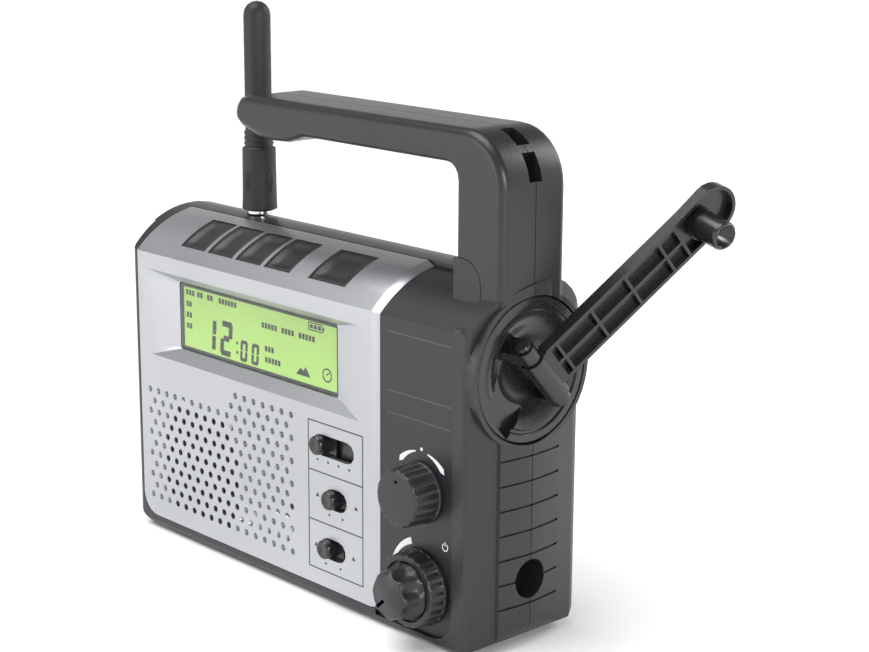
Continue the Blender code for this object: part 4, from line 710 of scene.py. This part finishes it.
@dataclass
class Bezel:
    """Silver front with its grille dimples and the printed frame of the switches.

    The grille's places are in metres and the printed frame's in millimetres.
    """

    first: Point = (-94.45 * MM, 14.3 * MM)
    pitch: Point = (6.14 * MM, 4.82 * MM)
    rows: int = 13
    last_hole: int = 16
    short_rows: dict[int, tuple[int, int]] = field(
        default_factory=lambda: {11: (9, 15), 12: (10, 16)}
    )
    open_rows: tuple[tuple[int, int], ...] = (
        (3, 9), (2, 9), (2, 10), (2, 9), (2, 10), (2, 9), (2, 10), (2, 9), (3, 9), (3, 8),
    )
    microphone: tuple[int, int] = (4, 16)
    dimple: float = 1.4 * MM
    mouth_share: float = 1.06
    floor_share: float = 0.8
    sides: int = 8
    depth: float = 1.3 * MM
    frame_box: tuple[float, float, float, float] = (14.7, 47.6, 11.8, 73.0)
    dividers: tuple[float, float] = (31.9, 52.6)
    line: float = 0.5
    band_dots: tuple[Point, ...] = tuple((20.4 + 6.4 * i, 57.6) for i in range(4))
    dots: tuple[Point, ...] = ((27.4, 36.2), (35.4, 36.2), (25.0, 15.2), (34.0, 15.2))
    triangles: tuple[Point, ...] = ((20.2, 42.9), (43.6, 42.9), (19.0, 21.8), (42.0, 21.8))
    edge: float = 0.3 * MM

    def is_open(self, row: int, hole: int) -> bool:
        """Tell whether a grille hole goes through to the speaker or the microphone.

        Args:
            row: the hole's row, counted from below.
            hole: its number in the row, counted from the left.

        Returns:
            True if it goes through.
        """
        if (row, hole) == self.microphone:
            return True
        if row >= len(self.open_rows):
            return False
        start, end = self.open_rows[row]
        return start <= hole <= end

    def dimples(self) -> list[Point]:
        """Find the grille dimples that don't go through.

        Returns:
            Their centres.
        """
        spots = []
        for row in range(self.rows):
            stagger = row % 2
            start, end = self.short_rows.get(row, (0, self.last_hole - stagger))
            for hole in range(start, end + 1):
                if self.is_open(row, hole):
                    continue
                x = self.first[0] + (hole + 0.5 * stagger) * self.pitch[0]
                spots.append((x, self.first[1] + row * self.pitch[1]))
        return spots

    def dress(self, shop: Workshop) -> None:
        """Dress the bezel.

        Args:
            shop: the workshop.
        """
        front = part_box("front_bezel")[0].y
        start = 180.0 / self.sides
        cutter = bmesh.new()
        for centre in self.dimples():
            mouth = arc(centre, self.dimple * self.mouth_share, start, 360.0, self.sides)
            floor = arc(centre, self.dimple * self.floor_share, start, 360.0, self.sides)
            loft(mouth, floor, front - 0.2 * MM, front + self.depth, cutter)
        shop.skin("front_bezel", SILVER, "housing", "silver_plastic", self.edge, cutter, 34.0)
        self.print_frame(shop, front)

    def print_frame(self, shop: Workshop, front: float) -> None:
        """Print the frame, its dividers and the position dots.

        Args:
            shop: the workshop.
            front: y of the bezel's face.
        """
        marks = Marks(front - PRINT_RISE, front + PRINT_ROOT)
        left, right, low, high = self.frame_box
        half = self.line / 2
        levels = (low, *self.dividers, high)
        for z in levels:
            marks.draw(oblong(left - half, right + half, z - half, z + half))
        for bottom, top in zip(levels, levels[1:]):
            for x in (left, right):
                marks.draw(oblong(x - half, x + half, bottom + half, top - half))
        for centre in self.band_dots + self.dots:
            marks.draw(arc(centre, 0.55, 0.0, 360.0, 10))
        for x, z in self.triangles:
            marks.draw([(x - 1.1, z - 0.8), (x + 1.1, z - 0.8), (x, z + 1.0)])
        shop.add("switch_frame", marks.bm, INK_DARK, "housing", "control_plastic", sharp=30.0)


@dataclass
class Display:
    """Lit liquid-crystal pane with its numbers and small symbols.

    The numbers and symbols are laid out in millimetres. A row of indicators is its
    height and then the left end and the number of blocks of each bar.
    """

    ink: float = 0.08 * MM
    root: float = 0.02 * MM
    step: float = 0.004 * MM
    rim: float = 1.3 * MM
    left: float = -62.0
    foot: float = 85.5
    hours: tuple[tuple[str, float], ...] = (("1", 0.0), ("2", 11.2))
    minutes: tuple[tuple[str, float], ...] = (("0", 25.0), ("0", 32.6))
    tall: float = 15.0
    short: float = 9.0
    lean: float = 0.1
    colon: tuple[float, float] = (88.0, 92.0)
    indicators: tuple[tuple[float, tuple[tuple[float, int], ...]], ...] = (
        (107.4, ((-74.0, 3), (-66.0, 2), (-59.0, 2), (-51.0, 6))),
        (102.4, ((-74.0, 2), (-22.0, 5), (-9.0, 4), (2.0, 5))),
        (97.6, ((-74.0, 2),)),
        (92.8, ((-74.0, 2), (-20.0, 3))),
        (88.2, ((-20.0, 5),)),
    )
    battery_box: tuple[float, float, float, float] = (8.0, 17.0, 107.0, 110.4)
    clock: Point = (19.5, 90.5)
    hand: tuple[Point, ...] = ((-0.2, -0.2), (1.5, 1.1), (1.3, 1.5), (-0.4, 0.4))
    hill: tuple[Point, ...] = ((0.0, 87.4), (9.0, 87.4), (6.2, 91.2), (4.6, 89.4), (3.0, 90.4))
    segments: dict[str, str] = field(
        default_factory=lambda: {"0": "abcdef", "1": "bc", "2": "abged"}
    )

    def dress(self, shop: Workshop) -> None:
        """Dress the pane, the window and the numbers.

        Args:
            shop: the workshop.
        """
        shop.paint("lcd_glass", DISPLAY)
        shop.paint("lcd_backlight", LIGHT_GUIDE)
        shop.skin("lcd_lens", LENS, "housing", "clear_plastic", 0.2 * MM)
        self.build_painted_shade_frame(shop)
        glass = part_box("lcd_glass")[0].y
        marks = Marks(glass - self.ink, glass + self.root)
        for sign, x in self.hours:
            self.draw_digit(marks, sign, self.left + x, self.tall)
        for sign, x in self.minutes:
            self.draw_digit(marks, sign, self.left + x, self.short)
        for z in self.colon:
            marks.draw(oblong(self.left + 22.6, self.left + 23.8, z, z + 1.2))
        self.draw_indicators(marks)
        self.draw_battery(marks)
        self.draw_clock(marks)
        marks.draw(list(self.hill))
        shop.add("display_numbers", marks.bm, CRYSTAL, "housing", "display_glass", sharp=30.0)

    def build_painted_shade_frame(self, shop: Workshop) -> None:
        """Frame the window with a thin dark band behind the lens, painted shade along the window's
        edge.

        Args:
            shop: the workshop.
        """
        low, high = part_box("lcd_lens")
        bm = bmesh.new()
        rim = self.rim
        front, back = high.y + 0.03 * MM, high.y + 0.25 * MM
        # Painted shade: a dark band round the pane's edge, where the window's edge shades it.
        for bar in (
            oblong(low.x, high.x, low.z, low.z + rim),
            oblong(low.x, high.x, high.z - rim, high.z),
            oblong(low.x, low.x + rim, low.z + rim, high.z - rim),
            oblong(high.x - rim, high.x, low.z + rim, high.z - rim),
        ):
            plate(bar, front, back, bm)
        shop.add("window_painted_shade", bm, CRYSTAL, "housing", "black_plastic", sharp=30.0)

    def draw_digit(self, marks: Marks, sign: str, x: float, height: float) -> None:
        """Add one seven-segment number.

        Args:
            marks: the drawing that gets it.
            sign: the number.
            x: its left edge.
            height: its height.
        """
        width = height * 0.52
        bar = height * 0.16
        half = height / 2
        slots = {
            "a": (bar * 0.3, height - bar, width - bar * 0.3, height),
            "g": (bar * 0.8, half - bar / 2, width - bar * 0.8, half + bar / 2),
            "d": (bar * 0.3, 0.0, width - bar * 0.3, bar),
            "f": (0.0, half + bar * 0.15, bar, height - bar * 0.5),
            "b": (width - bar, half + bar * 0.15, width, height - bar * 0.5),
            "e": (0.0, bar * 0.5, bar, half - bar * 0.15),
            "c": (width - bar, bar * 0.5, width, half - bar * 0.15),
        }
        for i, name in enumerate(self.segments[sign]):
            left, low, right, high = slots[name]
            corners = oblong(left, right, low, high)
            leaning = [(x + u + v * self.lean, self.foot + v) for u, v in corners]
            marks.draw(leaning, lift=i * self.step)

    def draw_indicators(self, marks: Marks) -> None:
        """Add the rows of plain indicator bars, each made of small blocks.

        Args:
            marks: the drawing that gets it.
        """
        for z, bars in self.indicators:
            for x, blocks in bars:
                for k in range(blocks):
                    left = x + 2.1 * k
                    marks.draw(oblong(left, left + 1.5, z, z + 2.3))

    def draw_battery(self, marks: Marks) -> None:
        """Add the battery mark: four bars that don't meet, three cells and the tip.

        Args:
            marks: the drawing that gets it.
        """
        left, right, low, high = self.battery_box
        line = 0.45
        side = line * 1.1
        marks.draw(oblong(left, right, low, low + line))
        marks.draw(oblong(left, right, high - line, high))
        marks.draw(oblong(left, left + line, low + side, high - side))
        marks.draw(oblong(right - line, right, low + side, high - side))
        for k in range(3):
            cell = left + 1.0 + 2.5 * k
            marks.draw(oblong(cell, cell + 1.9, low + 0.9, high - 0.9))
        marks.draw(oblong(right + 0.3, right + 1.0, low + 1.0, high - 1.0))

    def draw_clock(self, marks: Marks) -> None:
        """Add the clock mark: a ring in two halves and a hand.

        Args:
            marks: the drawing that gets it.
        """
        for start in (0.0, 180.0):
            marks.draw(band(self.clock, 2.3, 2.9, start + 3.0, 174.0))
        marks.draw([(self.clock[0] + u, self.clock[1] + v) for u, v in self.hand])


@dataclass
class Keys:
    """Five dished rubber keys on the curved top."""

    crown_y: float = 7.2 * MM
    tilt: float = 27.3
    radius: float = 51.0 * MM
    half: float = 9.6 * MM
    skirt: float = 5.3 * MM
    dish: float = 1.1 * MM
    lip: float = 0.9 * MM
    slope: float = 3.2 * MM
    grid: int = 14

    def dress(self, shop: Workshop) -> None:
        """Build each key over its CAD node.

        Args:
            shop: the workshop.
        """
        for i in range(1, 6):
            shop.add(
                f"key_{i}", self.build(f"button_{i}"), KEY_RUBBER, f"button_{i}",
                "black_rubber", (f"button_{i}",), 50.0,
            )

    def build(self, node: str) -> bmesh.types.BMesh:
        """Build one key, dished between its rims.

        Args:
            node: the CAD node that gives its place.

        Returns:
            The key's mesh.
        """
        low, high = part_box(node)
        angle = math.radians(self.tilt)
        tangent = Vector((0.0, math.cos(angle), math.sin(angle)))
        normal = Vector((0.0, -math.sin(angle), math.cos(angle)))
        origin = Vector((0.0, self.crown_y, high.z - self.edge_height(angle)))
        bm = bmesh.new()
        rows = []
        ease = self.lip * 0.5
        half_x = (high.x - low.x) / 2
        middle = (high.x + low.x) / 2
        for i in range(self.grid + 1):
            s = self.spread(i)
            row = []
            for j in range(self.grid + 1):
                t = self.spread(j)
                u, v = s * half_x, t * self.half
                inset = min(half_x - abs(u), self.half - abs(v))
                height = math.sqrt(self.radius**2 - v**2)
                height -= ease * (1.0 - min(1.0, inset / ease)) ** 2
                deep = max(0.0, min(1.0, (inset - self.lip) / self.slope))
                height -= self.dish * deep * deep * (3.0 - 2.0 * deep)
                point = origin + tangent * v + normal * height
                row.append(bm.verts.new((middle + u, point.y, point.z)))
            rows.append(row)
        for near, far in zip(rows, rows[1:]):
            for j in range(self.grid):
                bm.faces.new((near[j], near[j + 1], far[j + 1], far[j]))
        rim = [row[0] for row in rows] + rows[-1][1:]
        rim += [row[-1] for row in rows[-2::-1]] + rows[0][-2:0:-1]
        base = origin + normal * (self.radius - self.skirt)
        foot = []
        for vert in rim:
            along = (vert.co - base).dot(tangent)
            point = base + tangent * along
            foot.append(bm.verts.new((vert.co.x, point.y, point.z)))
        for i in range(len(rim)):
            j = (i + 1) % len(rim)
            bm.faces.new((rim[i], rim[j], foot[j], foot[i]))
        bm.faces.new(foot)
        return bm

    def spread(self, index: int) -> float:
        """Return grid positions from -1 to 1, closer together near the rims."""
        t = 2.0 * index / self.grid - 1.0
        return math.sin(t * math.pi / 2)

    def edge_height(self, angle: float) -> float:
        """Return the height of the key's rear rim above the crown's centre."""
        v = self.half
        return v * math.sin(angle) + math.sqrt(self.radius**2 - v**2) * math.cos(angle)


@dataclass
class ControlPanel:
    """Dark plate with its printed scales, laid out in millimetres about the knobs."""

    arrow_radius: float = 15.6
    arrow_start: float = 12.0
    arrow_turn: float = 34.0
    dot_height: float = 16.6
    wedge_radius: float = 16.4
    power_spot: Point = (13.15, 19.1)
    rules: tuple[float, ...] = (117.0, 94.2, 85.6)
    rule_ends: tuple[float, float] = (59.5, 95.0)

    def dress(self, shop: Workshop) -> None:
        """Dress the plate and print its marks.

        Args:
            shop: the workshop.
        """
        shop.skin(
            "control_panel", DARK_PANEL, "housing", "control_plastic", 0.3 * MM, sharp=28.0
        )
        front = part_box("control_panel")[0].y
        white = Marks(front - PRINT_RISE, front + PRINT_ROOT)
        tuning, volume = middle("tuning_knob"), middle("volume_knob")
        for side in (1.0, -1.0):
            self.draw_arrow(white, tuning, side)
        white.draw(arc((0.0, self.dot_height), 0.7, 0.0, 360.0, 12), tuning)
        self.draw_wedge(white, volume)
        self.draw_power(white, volume)
        shop.add("panel_marks", white.bm, INK_WHITE, "housing", "silver_plastic", sharp=30.0)
        grey = Marks(front - PRINT_RISE, front + PRINT_ROOT)
        for z in self.rules:
            grey.draw(oblong(*self.rule_ends, z - 0.2, z + 0.2))
        shop.add("panel_rules", grey.bm, INK_GREY, "housing", "control_plastic", sharp=30.0)

    def draw_arrow(self, marks: Marks, knob: Point, side: float) -> None:
        """Add a curved arrow over the tuning knob that grows towards its head.

        Args:
            marks: the drawing that gets it.
            knob: the knob's centre in metres.
            side: 1 for the arrow that runs to the right, -1 for the left.
        """
        start, turn = 90.0 - side * self.arrow_start, -side * self.arrow_turn
        steps = 8
        outer, inner = [], []
        for i in range(steps + 1):
            share = i / steps
            half = 0.25 + 0.9 * share
            for edge, radius in (
                (outer, self.arrow_radius + half), (inner, self.arrow_radius - half)
            ):
                edge.append(spoke(radius, start + turn * share))
        tip = spoke(self.arrow_radius, start + turn * 1.2)
        marks.draw(outer + [tip] + inner[::-1], knob)

    def draw_wedge(self, marks: Marks, knob: Point) -> None:
        """Add the volume scale, a curved wedge over the knob's upper left.

        Args:
            marks: the drawing that gets it.
            knob: the knob's centre in metres.
        """
        outer, inner = [], []
        steps = 12
        for i in range(steps + 1):
            share = i / steps
            angle = 200.0 - 92.0 * share
            outer.append(spoke(self.wedge_radius + 0.2 + 2.4 * share, angle))
            inner.append(spoke(self.wedge_radius, angle))
        marks.draw(outer + inner[::-1], knob)

    def draw_power(self, marks: Marks, knob: Point) -> None:
        """Add the plain on-off symbol.

        Args:
            marks: the drawing that gets it.
            knob: the volume knob's centre in metres.
        """
        marks.draw(band(self.power_spot, 1.25, 1.65, 125.0, 290.0), knob)
        x, z = self.power_spot
        marks.draw(oblong(x - 0.2, x + 0.2, z + 0.4, z + 2.0), knob)


@dataclass
class Knobs:
    """Fluted tuning knob, ribbed tone ring and scalloped volume knob, in millimetres."""

    panel_gap: float = 0.3
    dot_height: float = 6.6
    pointer_angle: float = 222.0
    pointer_ends: tuple[float, float] = (3.2, 9.2)
    pointer_half: float = 0.7

    def dress(self, shop: Workshop) -> None:
        """Build the three knobs, the dot and the pointer.

        Args:
            shop: the workshop.
        """
        self.build_tuning(shop)
        self.build_volume(shop)
        self.build_tone(shop)
        self.build_dot(shop)
        self.build_pointer(shop)

    def turn(self, shop: Workshop, node: str, knob: Lathe, body: str) -> None:
        """Put one turned knob in the place of its CAD node."""
        shop.add(f"{node}_fluted", knob.build(), KNOB_BLACK, body, "black_plastic", (node,), 40.0)

    def build_tuning(self, shop: Workshop) -> None:
        """Build the tuning knob over its collar.

        Args:
            shop: the workshop.
        """
        face, rest = depths("tuning_knob")
        rows = [
            (8.0, rest, 0.0), (12.0, rest, 0.0), (12.0, rest - 1.0, 0.0), (11.8, rest - 1.2, 0.0),
            (11.7, rest - 1.5, 0.45), (11.2, face + 1.0, 0.45), (10.9, face + 0.4, 0.3),
            (10.4, face + 0.1, 0.0), (9.4, face, 0.0),
        ]
        knob = Lathe(middle("tuning_knob"), rows, 20, sharpness=0.6)
        self.turn(shop, "tuning_knob", knob, "tuning")

    def build_volume(self, shop: Workshop) -> None:
        """Build the scalloped volume knob.

        Args:
            shop: the workshop.
        """
        face, rest = depths("volume_knob")
        rows = [
            (8.0, rest, 0.0), (11.2, rest, 0.0), (11.2, rest - 1.4, 0.0), (10.9, rest - 2.4, 1.0),
            (10.4, rest - 4.0, 2.0), (9.9, face + 2.4, 1.9), (9.4, face + 1.0, 1.2),
            (8.9, face + 0.3, 0.5), (8.3, face, 0.0),
        ]
        knob = Lathe(middle("volume_knob"), rows, 8, sharpness=0.8)
        self.turn(shop, "volume_knob", knob, "volume")

    def build_tone(self, shop: Workshop) -> None:
        """Build the ribbed ring, with its sleeve in the panel and the dish round the knob.

        Args:
            shop: the workshop.
        """
        face, root = depths("tone_ring")
        rest = depths("control_panel")[0] - self.panel_gap
        rows = [
            (5.1, root, 0.0), (5.1, rest, 0.0), (15.2, rest, 0.0), (15.2, rest - 1.2, 0.0),
            (15.0, rest - 1.6, 0.4), (14.5, face + 1.0, 0.4), (14.2, face + 0.4, 0.25),
            (13.7, face, 0.0), (12.0, face, 0.0), (12.0, face + 1.75, 0.0),
        ]
        knob = Lathe(middle("volume_knob"), rows, 24, sharpness=0.6)
        self.turn(shop, "tone_ring", knob, "tone")

    def build_dot(self, shop: Workshop) -> None:
        """Set a dot in the tuning knob's face.

        Args:
            shop: the workshop.
        """
        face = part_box("tuning_knob")[0].y
        dot = Marks(face, face + 0.6 * MM)
        dot.draw(arc((0.0, self.dot_height), 0.7, 0.0, 360.0, 14), middle("tuning_knob"))
        shop.add("tuning_dot", dot.bm, KNOB_BLACK, "tuning", "black_plastic")

    def build_pointer(self, shop: Workshop) -> None:
        """Set a pointer bar in the volume knob's face.

        Args:
            shop: the workshop.
        """
        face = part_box("volume_knob")[0].y
        angle = math.radians(self.pointer_angle)
        along = Vector((math.cos(angle), math.sin(angle)))
        across = Vector((-along.y, along.x))
        corners = oblong(*self.pointer_ends, -self.pointer_half, self.pointer_half)
        outline = [tuple(along * u + across * v) for u, v in corners]
        pointer = Marks(face, face + 3.0 * MM)
        pointer.draw(outline, middle("volume_knob"))
        shop.add("volume_pointer", pointer.bm, BLACK, "volume", "black_plastic")


@dataclass
class Sliders:
    """Round-topped slider knobs on their plates, in millimetres."""

    radius: float = 3.9
    names: tuple[str, ...] = ("band", "source", "light")

    def dress(self, shop: Workshop) -> None:
        """Build the knobs on their plates, and paint the bodies behind.

        Args:
            shop: the workshop.
        """
        for name in self.names:
            node = f"{name}_knob"
            shop.add(
                f"{name}_slider", self.build(node), BLACK, node, "black_plastic", (node,), 40.0
            )
            shop.paint(f"{name}_switch", BLACK)

    def build(self, node: str) -> bmesh.types.BMesh:
        """Build one dished knob and the plate that it stands on.

        Args:
            node: the CAD node that gives its place.

        Returns:
            The mesh of both.
        """
        face, back = depths(node)
        rows = [
            (self.radius, back, 0.0), (self.radius, face + 1.2, 0.0),
            (self.radius - 0.2, face + 0.5, 0.0), (self.radius - 0.7, face + 0.1, 0.0),
            (self.radius - 1.3, face, 0.0), (self.radius - 2.3, face + 0.35, 0.0),
        ]
        bm = Lathe(middle(node), rows, 6, 5).build()
        low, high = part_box(node)
        outline = oblong(low.x, high.x, low.z, high.z)
        plate(outline, high.y - 1.3 * MM, high.y - 0.4 * MM, bm)
        return bm


@dataclass
class Crank:
    """Folding crank with its disc, pin, grip and gears."""

    edge: float = 0.22 * MM

    def dress(self, shop: Workshop) -> None:
        """Dress the crank from the disc outwards.

        Args:
            shop: the workshop.
        """
        shop.skin("crank_disc", BLACK, "crank_disc", "black_plastic", 0.25 * MM, sharp=36.0)
        shop.skin("crank_arm", BLACK, "crank_arm", "black_plastic", self.edge, sharp=36.0)
        shop.skin("crank_knob", BLACK, "crank_knob", "black_plastic", sharp=50.0)
        shop.skin("crank_pin", BLACK, "crank_disc", "steel", sharp=40.0)
        shop.skin("crank_knob_screw", STEEL, "crank_arm", "steel", sharp=40.0)
        for node in ("drive_gear", "idler_gear"):
            shop.paint(node, GEAR_WHITE)
        for node in ("generator_rotor", "gear_plate"):
            shop.paint(node, STEEL)
        shop.paint("generator", BLACK)


@dataclass
class Antenna:
    """Rubber whip and its metal connector."""

    def dress(self, shop: Workshop) -> None:
        """Dress the whip and the connector."""
        shop.skin("antenna_whip", RUBBER, "antenna", "black_rubber", sharp=42.0)
        shop.skin("antenna_connector", CHROME, "housing", "plated_metal", 0.3 * MM, sharp=30.0)


@dataclass
class Inside:
    """What shows through the holes or lies behind the door."""

    finishes: dict[str, Finish] = field(
        default_factory=lambda: {
            "speaker_frame": STEEL, "speaker_cone": PAPER, "microphone": STEEL,
            "main_board": BOARD, "key_board": BOARD, "ferrite_rod": BLACK,
            "tuning_control": BOARD, "volume_control": BOARD, "tuning_shaft": STEEL,
            "volume_shaft": STEEL, "battery_pack": PACK, "cell_1": CELL, "cell_2": CELL,
            "cell_3": CELL,
        }
    )

    def dress(self, shop: Workshop) -> None:
        """Paint each inner node."""
        for node, finish in self.finishes.items():
            shop.paint(node, finish)


@dataclass
class Lamp:
    """Lamp in the end face away from the crank."""

    def dress(self, shop: Workshop) -> None:
        """Dress the lens, reflector and light.

        Args:
            shop: the workshop.
        """
        shop.skin("lamp_lens", LENS, "housing", "clear_plastic", 0.2 * MM, sharp=40.0)
        shop.skin("lamp_reflector", CHROME, "housing", "plated_metal", sharp=40.0)
        shop.paint("lamp_led", LIGHT_GUIDE)


@dataclass
class Studio:
    """Pale floor, soft lights and the camera."""

    eye: tuple[float, float, float] = (0.5816, -0.4882, 0.2887)
    target: tuple[float, float, float] = (0.0496, 0.0054, 0.1113)
    roll: float = 0.331
    lens: float = 79.46
    floor_gap: float = 0.05 * MM
    floor_size: float = 6.0
    horizon: tuple[float, float] = (0.08, 0.6)
    zenith: float = 0.22
    sun_power: float = 2.6
    sun_spread: float = 50.0
    sun_way: tuple[float, float, float] = (0.25, 0.3, -1.0)
    lamps: tuple[tuple[str, tuple[float, float, float], float, float], ...] = (
        ("key", (-0.7, -1.5, 0.45), 1.0, 7.0),
        ("side", (1.4, -0.5, 0.6), 0.35, 9.0),
        ("back", (0.5, 1.3, 0.9), 0.7, 9.0),
    )

    def build(self, shop: Workshop) -> None:
        """Set up floor, world, lights and camera.

        Args:
            shop: the workshop.
        """
        self.build_floor(shop)
        self.build_world()
        self.build_sun()
        for name, spot, size, power in self.lamps:
            self.hang_lamp(name, spot, size, power)
        self.build_camera()
        self.keep_plain_tones()

    def build_floor(self, shop: Workshop) -> None:
        """Lay a wide pale floor under the feet.

        Args:
            shop: the workshop.
        """
        bm = bmesh.new()
        bmesh.ops.create_grid(bm, x_segments=4, y_segments=4, size=self.floor_size)
        mesh = bpy.data.meshes.new("floor")
        bm.to_mesh(mesh)
        bm.free()
        floor = bpy.data.objects.new("floor", mesh)
        floor.location.z = CAD_BOX[0].z - self.floor_gap
        bpy.context.scene.collection.objects.link(floor)
        mesh.materials.append(shop.material(FLOOR))

    def build_world(self) -> None:
        """Light from all round, bright at the horizon and dimmer overhead."""
        world = bpy.data.worlds.new("studio")
        bpy.context.scene.world = world
        world.use_nodes = True
        tree = world.node_tree
        background = tree.nodes["Background"]
        split = tree.nodes.new("ShaderNodeSeparateXYZ")
        coordinates = tree.nodes.new("ShaderNodeTexCoord")
        tree.links.new(coordinates.outputs["Generated"], split.inputs[0])
        spread = tree.nodes.new("ShaderNodeMapRange")
        spread.inputs["From Min"].default_value = self.horizon[0]
        spread.inputs["From Max"].default_value = self.horizon[1]
        spread.inputs["To Min"].default_value = 1.0
        spread.inputs["To Max"].default_value = self.zenith
        spread.interpolation_type = "SMOOTHSTEP"
        tree.links.new(split.outputs["Z"], spread.inputs["Value"])
        tree.links.new(spread.outputs["Result"], background.inputs["Color"])
        background.inputs["Strength"].default_value = 1.0

    def build_sun(self) -> None:
        """Add a broad soft light from overhead that keeps the floor white."""
        data = bpy.data.lights.new("sky", "SUN")
        data.energy = self.sun_power
        data.angle = math.radians(self.sun_spread)
        sun = bpy.data.objects.new("sky", data)
        sun.rotation_euler = Vector(self.sun_way).to_track_quat("-Z", "Y").to_euler()
        bpy.context.scene.collection.objects.link(sun)

    def hang_lamp(
        self, name: str, spot: tuple[float, float, float], size: float, power: float
    ) -> None:
        """Hang a soft box that points at the radio.

        Args:
            name: its name.
            spot: its place.
            size: its side length.
            power: its power in watts.
        """
        data = bpy.data.lights.new(name, "AREA")
        data.size = size
        data.energy = power
        obj = bpy.data.objects.new(name, data)
        obj.location = spot
        aim = Vector(self.target) - Vector(spot)
        obj.rotation_euler = aim.to_track_quat("-Z", "Y").to_euler()
        bpy.context.scene.collection.objects.link(obj)

    def build_camera(self) -> None:
        """Place the camera, with its slight roll."""
        data = bpy.data.cameras.new("camera")
        data.lens = self.lens
        data.sensor_width = 36.0
        data.clip_start = 0.01
        data.clip_end = 50.0
        camera = bpy.data.objects.new("camera", data)
        ahead = (Vector(self.target) - Vector(self.eye)).normalized()
        right = ahead.cross(Vector((0.0, 0.0, 1.0))).normalized()
        up = right.cross(ahead)
        roll = math.radians(self.roll)
        level = right * math.cos(roll) + up * math.sin(roll)
        upright = up * math.cos(roll) - right * math.sin(roll)
        turn = Matrix((level, upright, -ahead)).transposed().to_4x4()
        camera.matrix_world = Matrix.Translation(self.eye) @ turn
        bpy.context.scene.collection.objects.link(camera)
        bpy.context.scene.camera = camera

    @staticmethod
    def keep_plain_tones() -> None:
        """Show colours as they are, without a film curve."""
        bpy.context.scene.view_settings.view_transform = "Standard"


def main() -> None:
    """Build everything in order."""
    logging.basicConfig(level=logging.INFO, format="%(message)s")
    shop = Workshop()
    Studio().build(shop)
    for part in (
        Housing(), Bezel(), Display(), Keys(), ControlPanel(), Knobs(), Sliders(), Crank(),
        Antenna(), Inside(), Lamp(),
    ):
        LOG.info("-- %s", type(part).__name__)
        part.dress(shop)


if __name__ == "__main__":
    main()
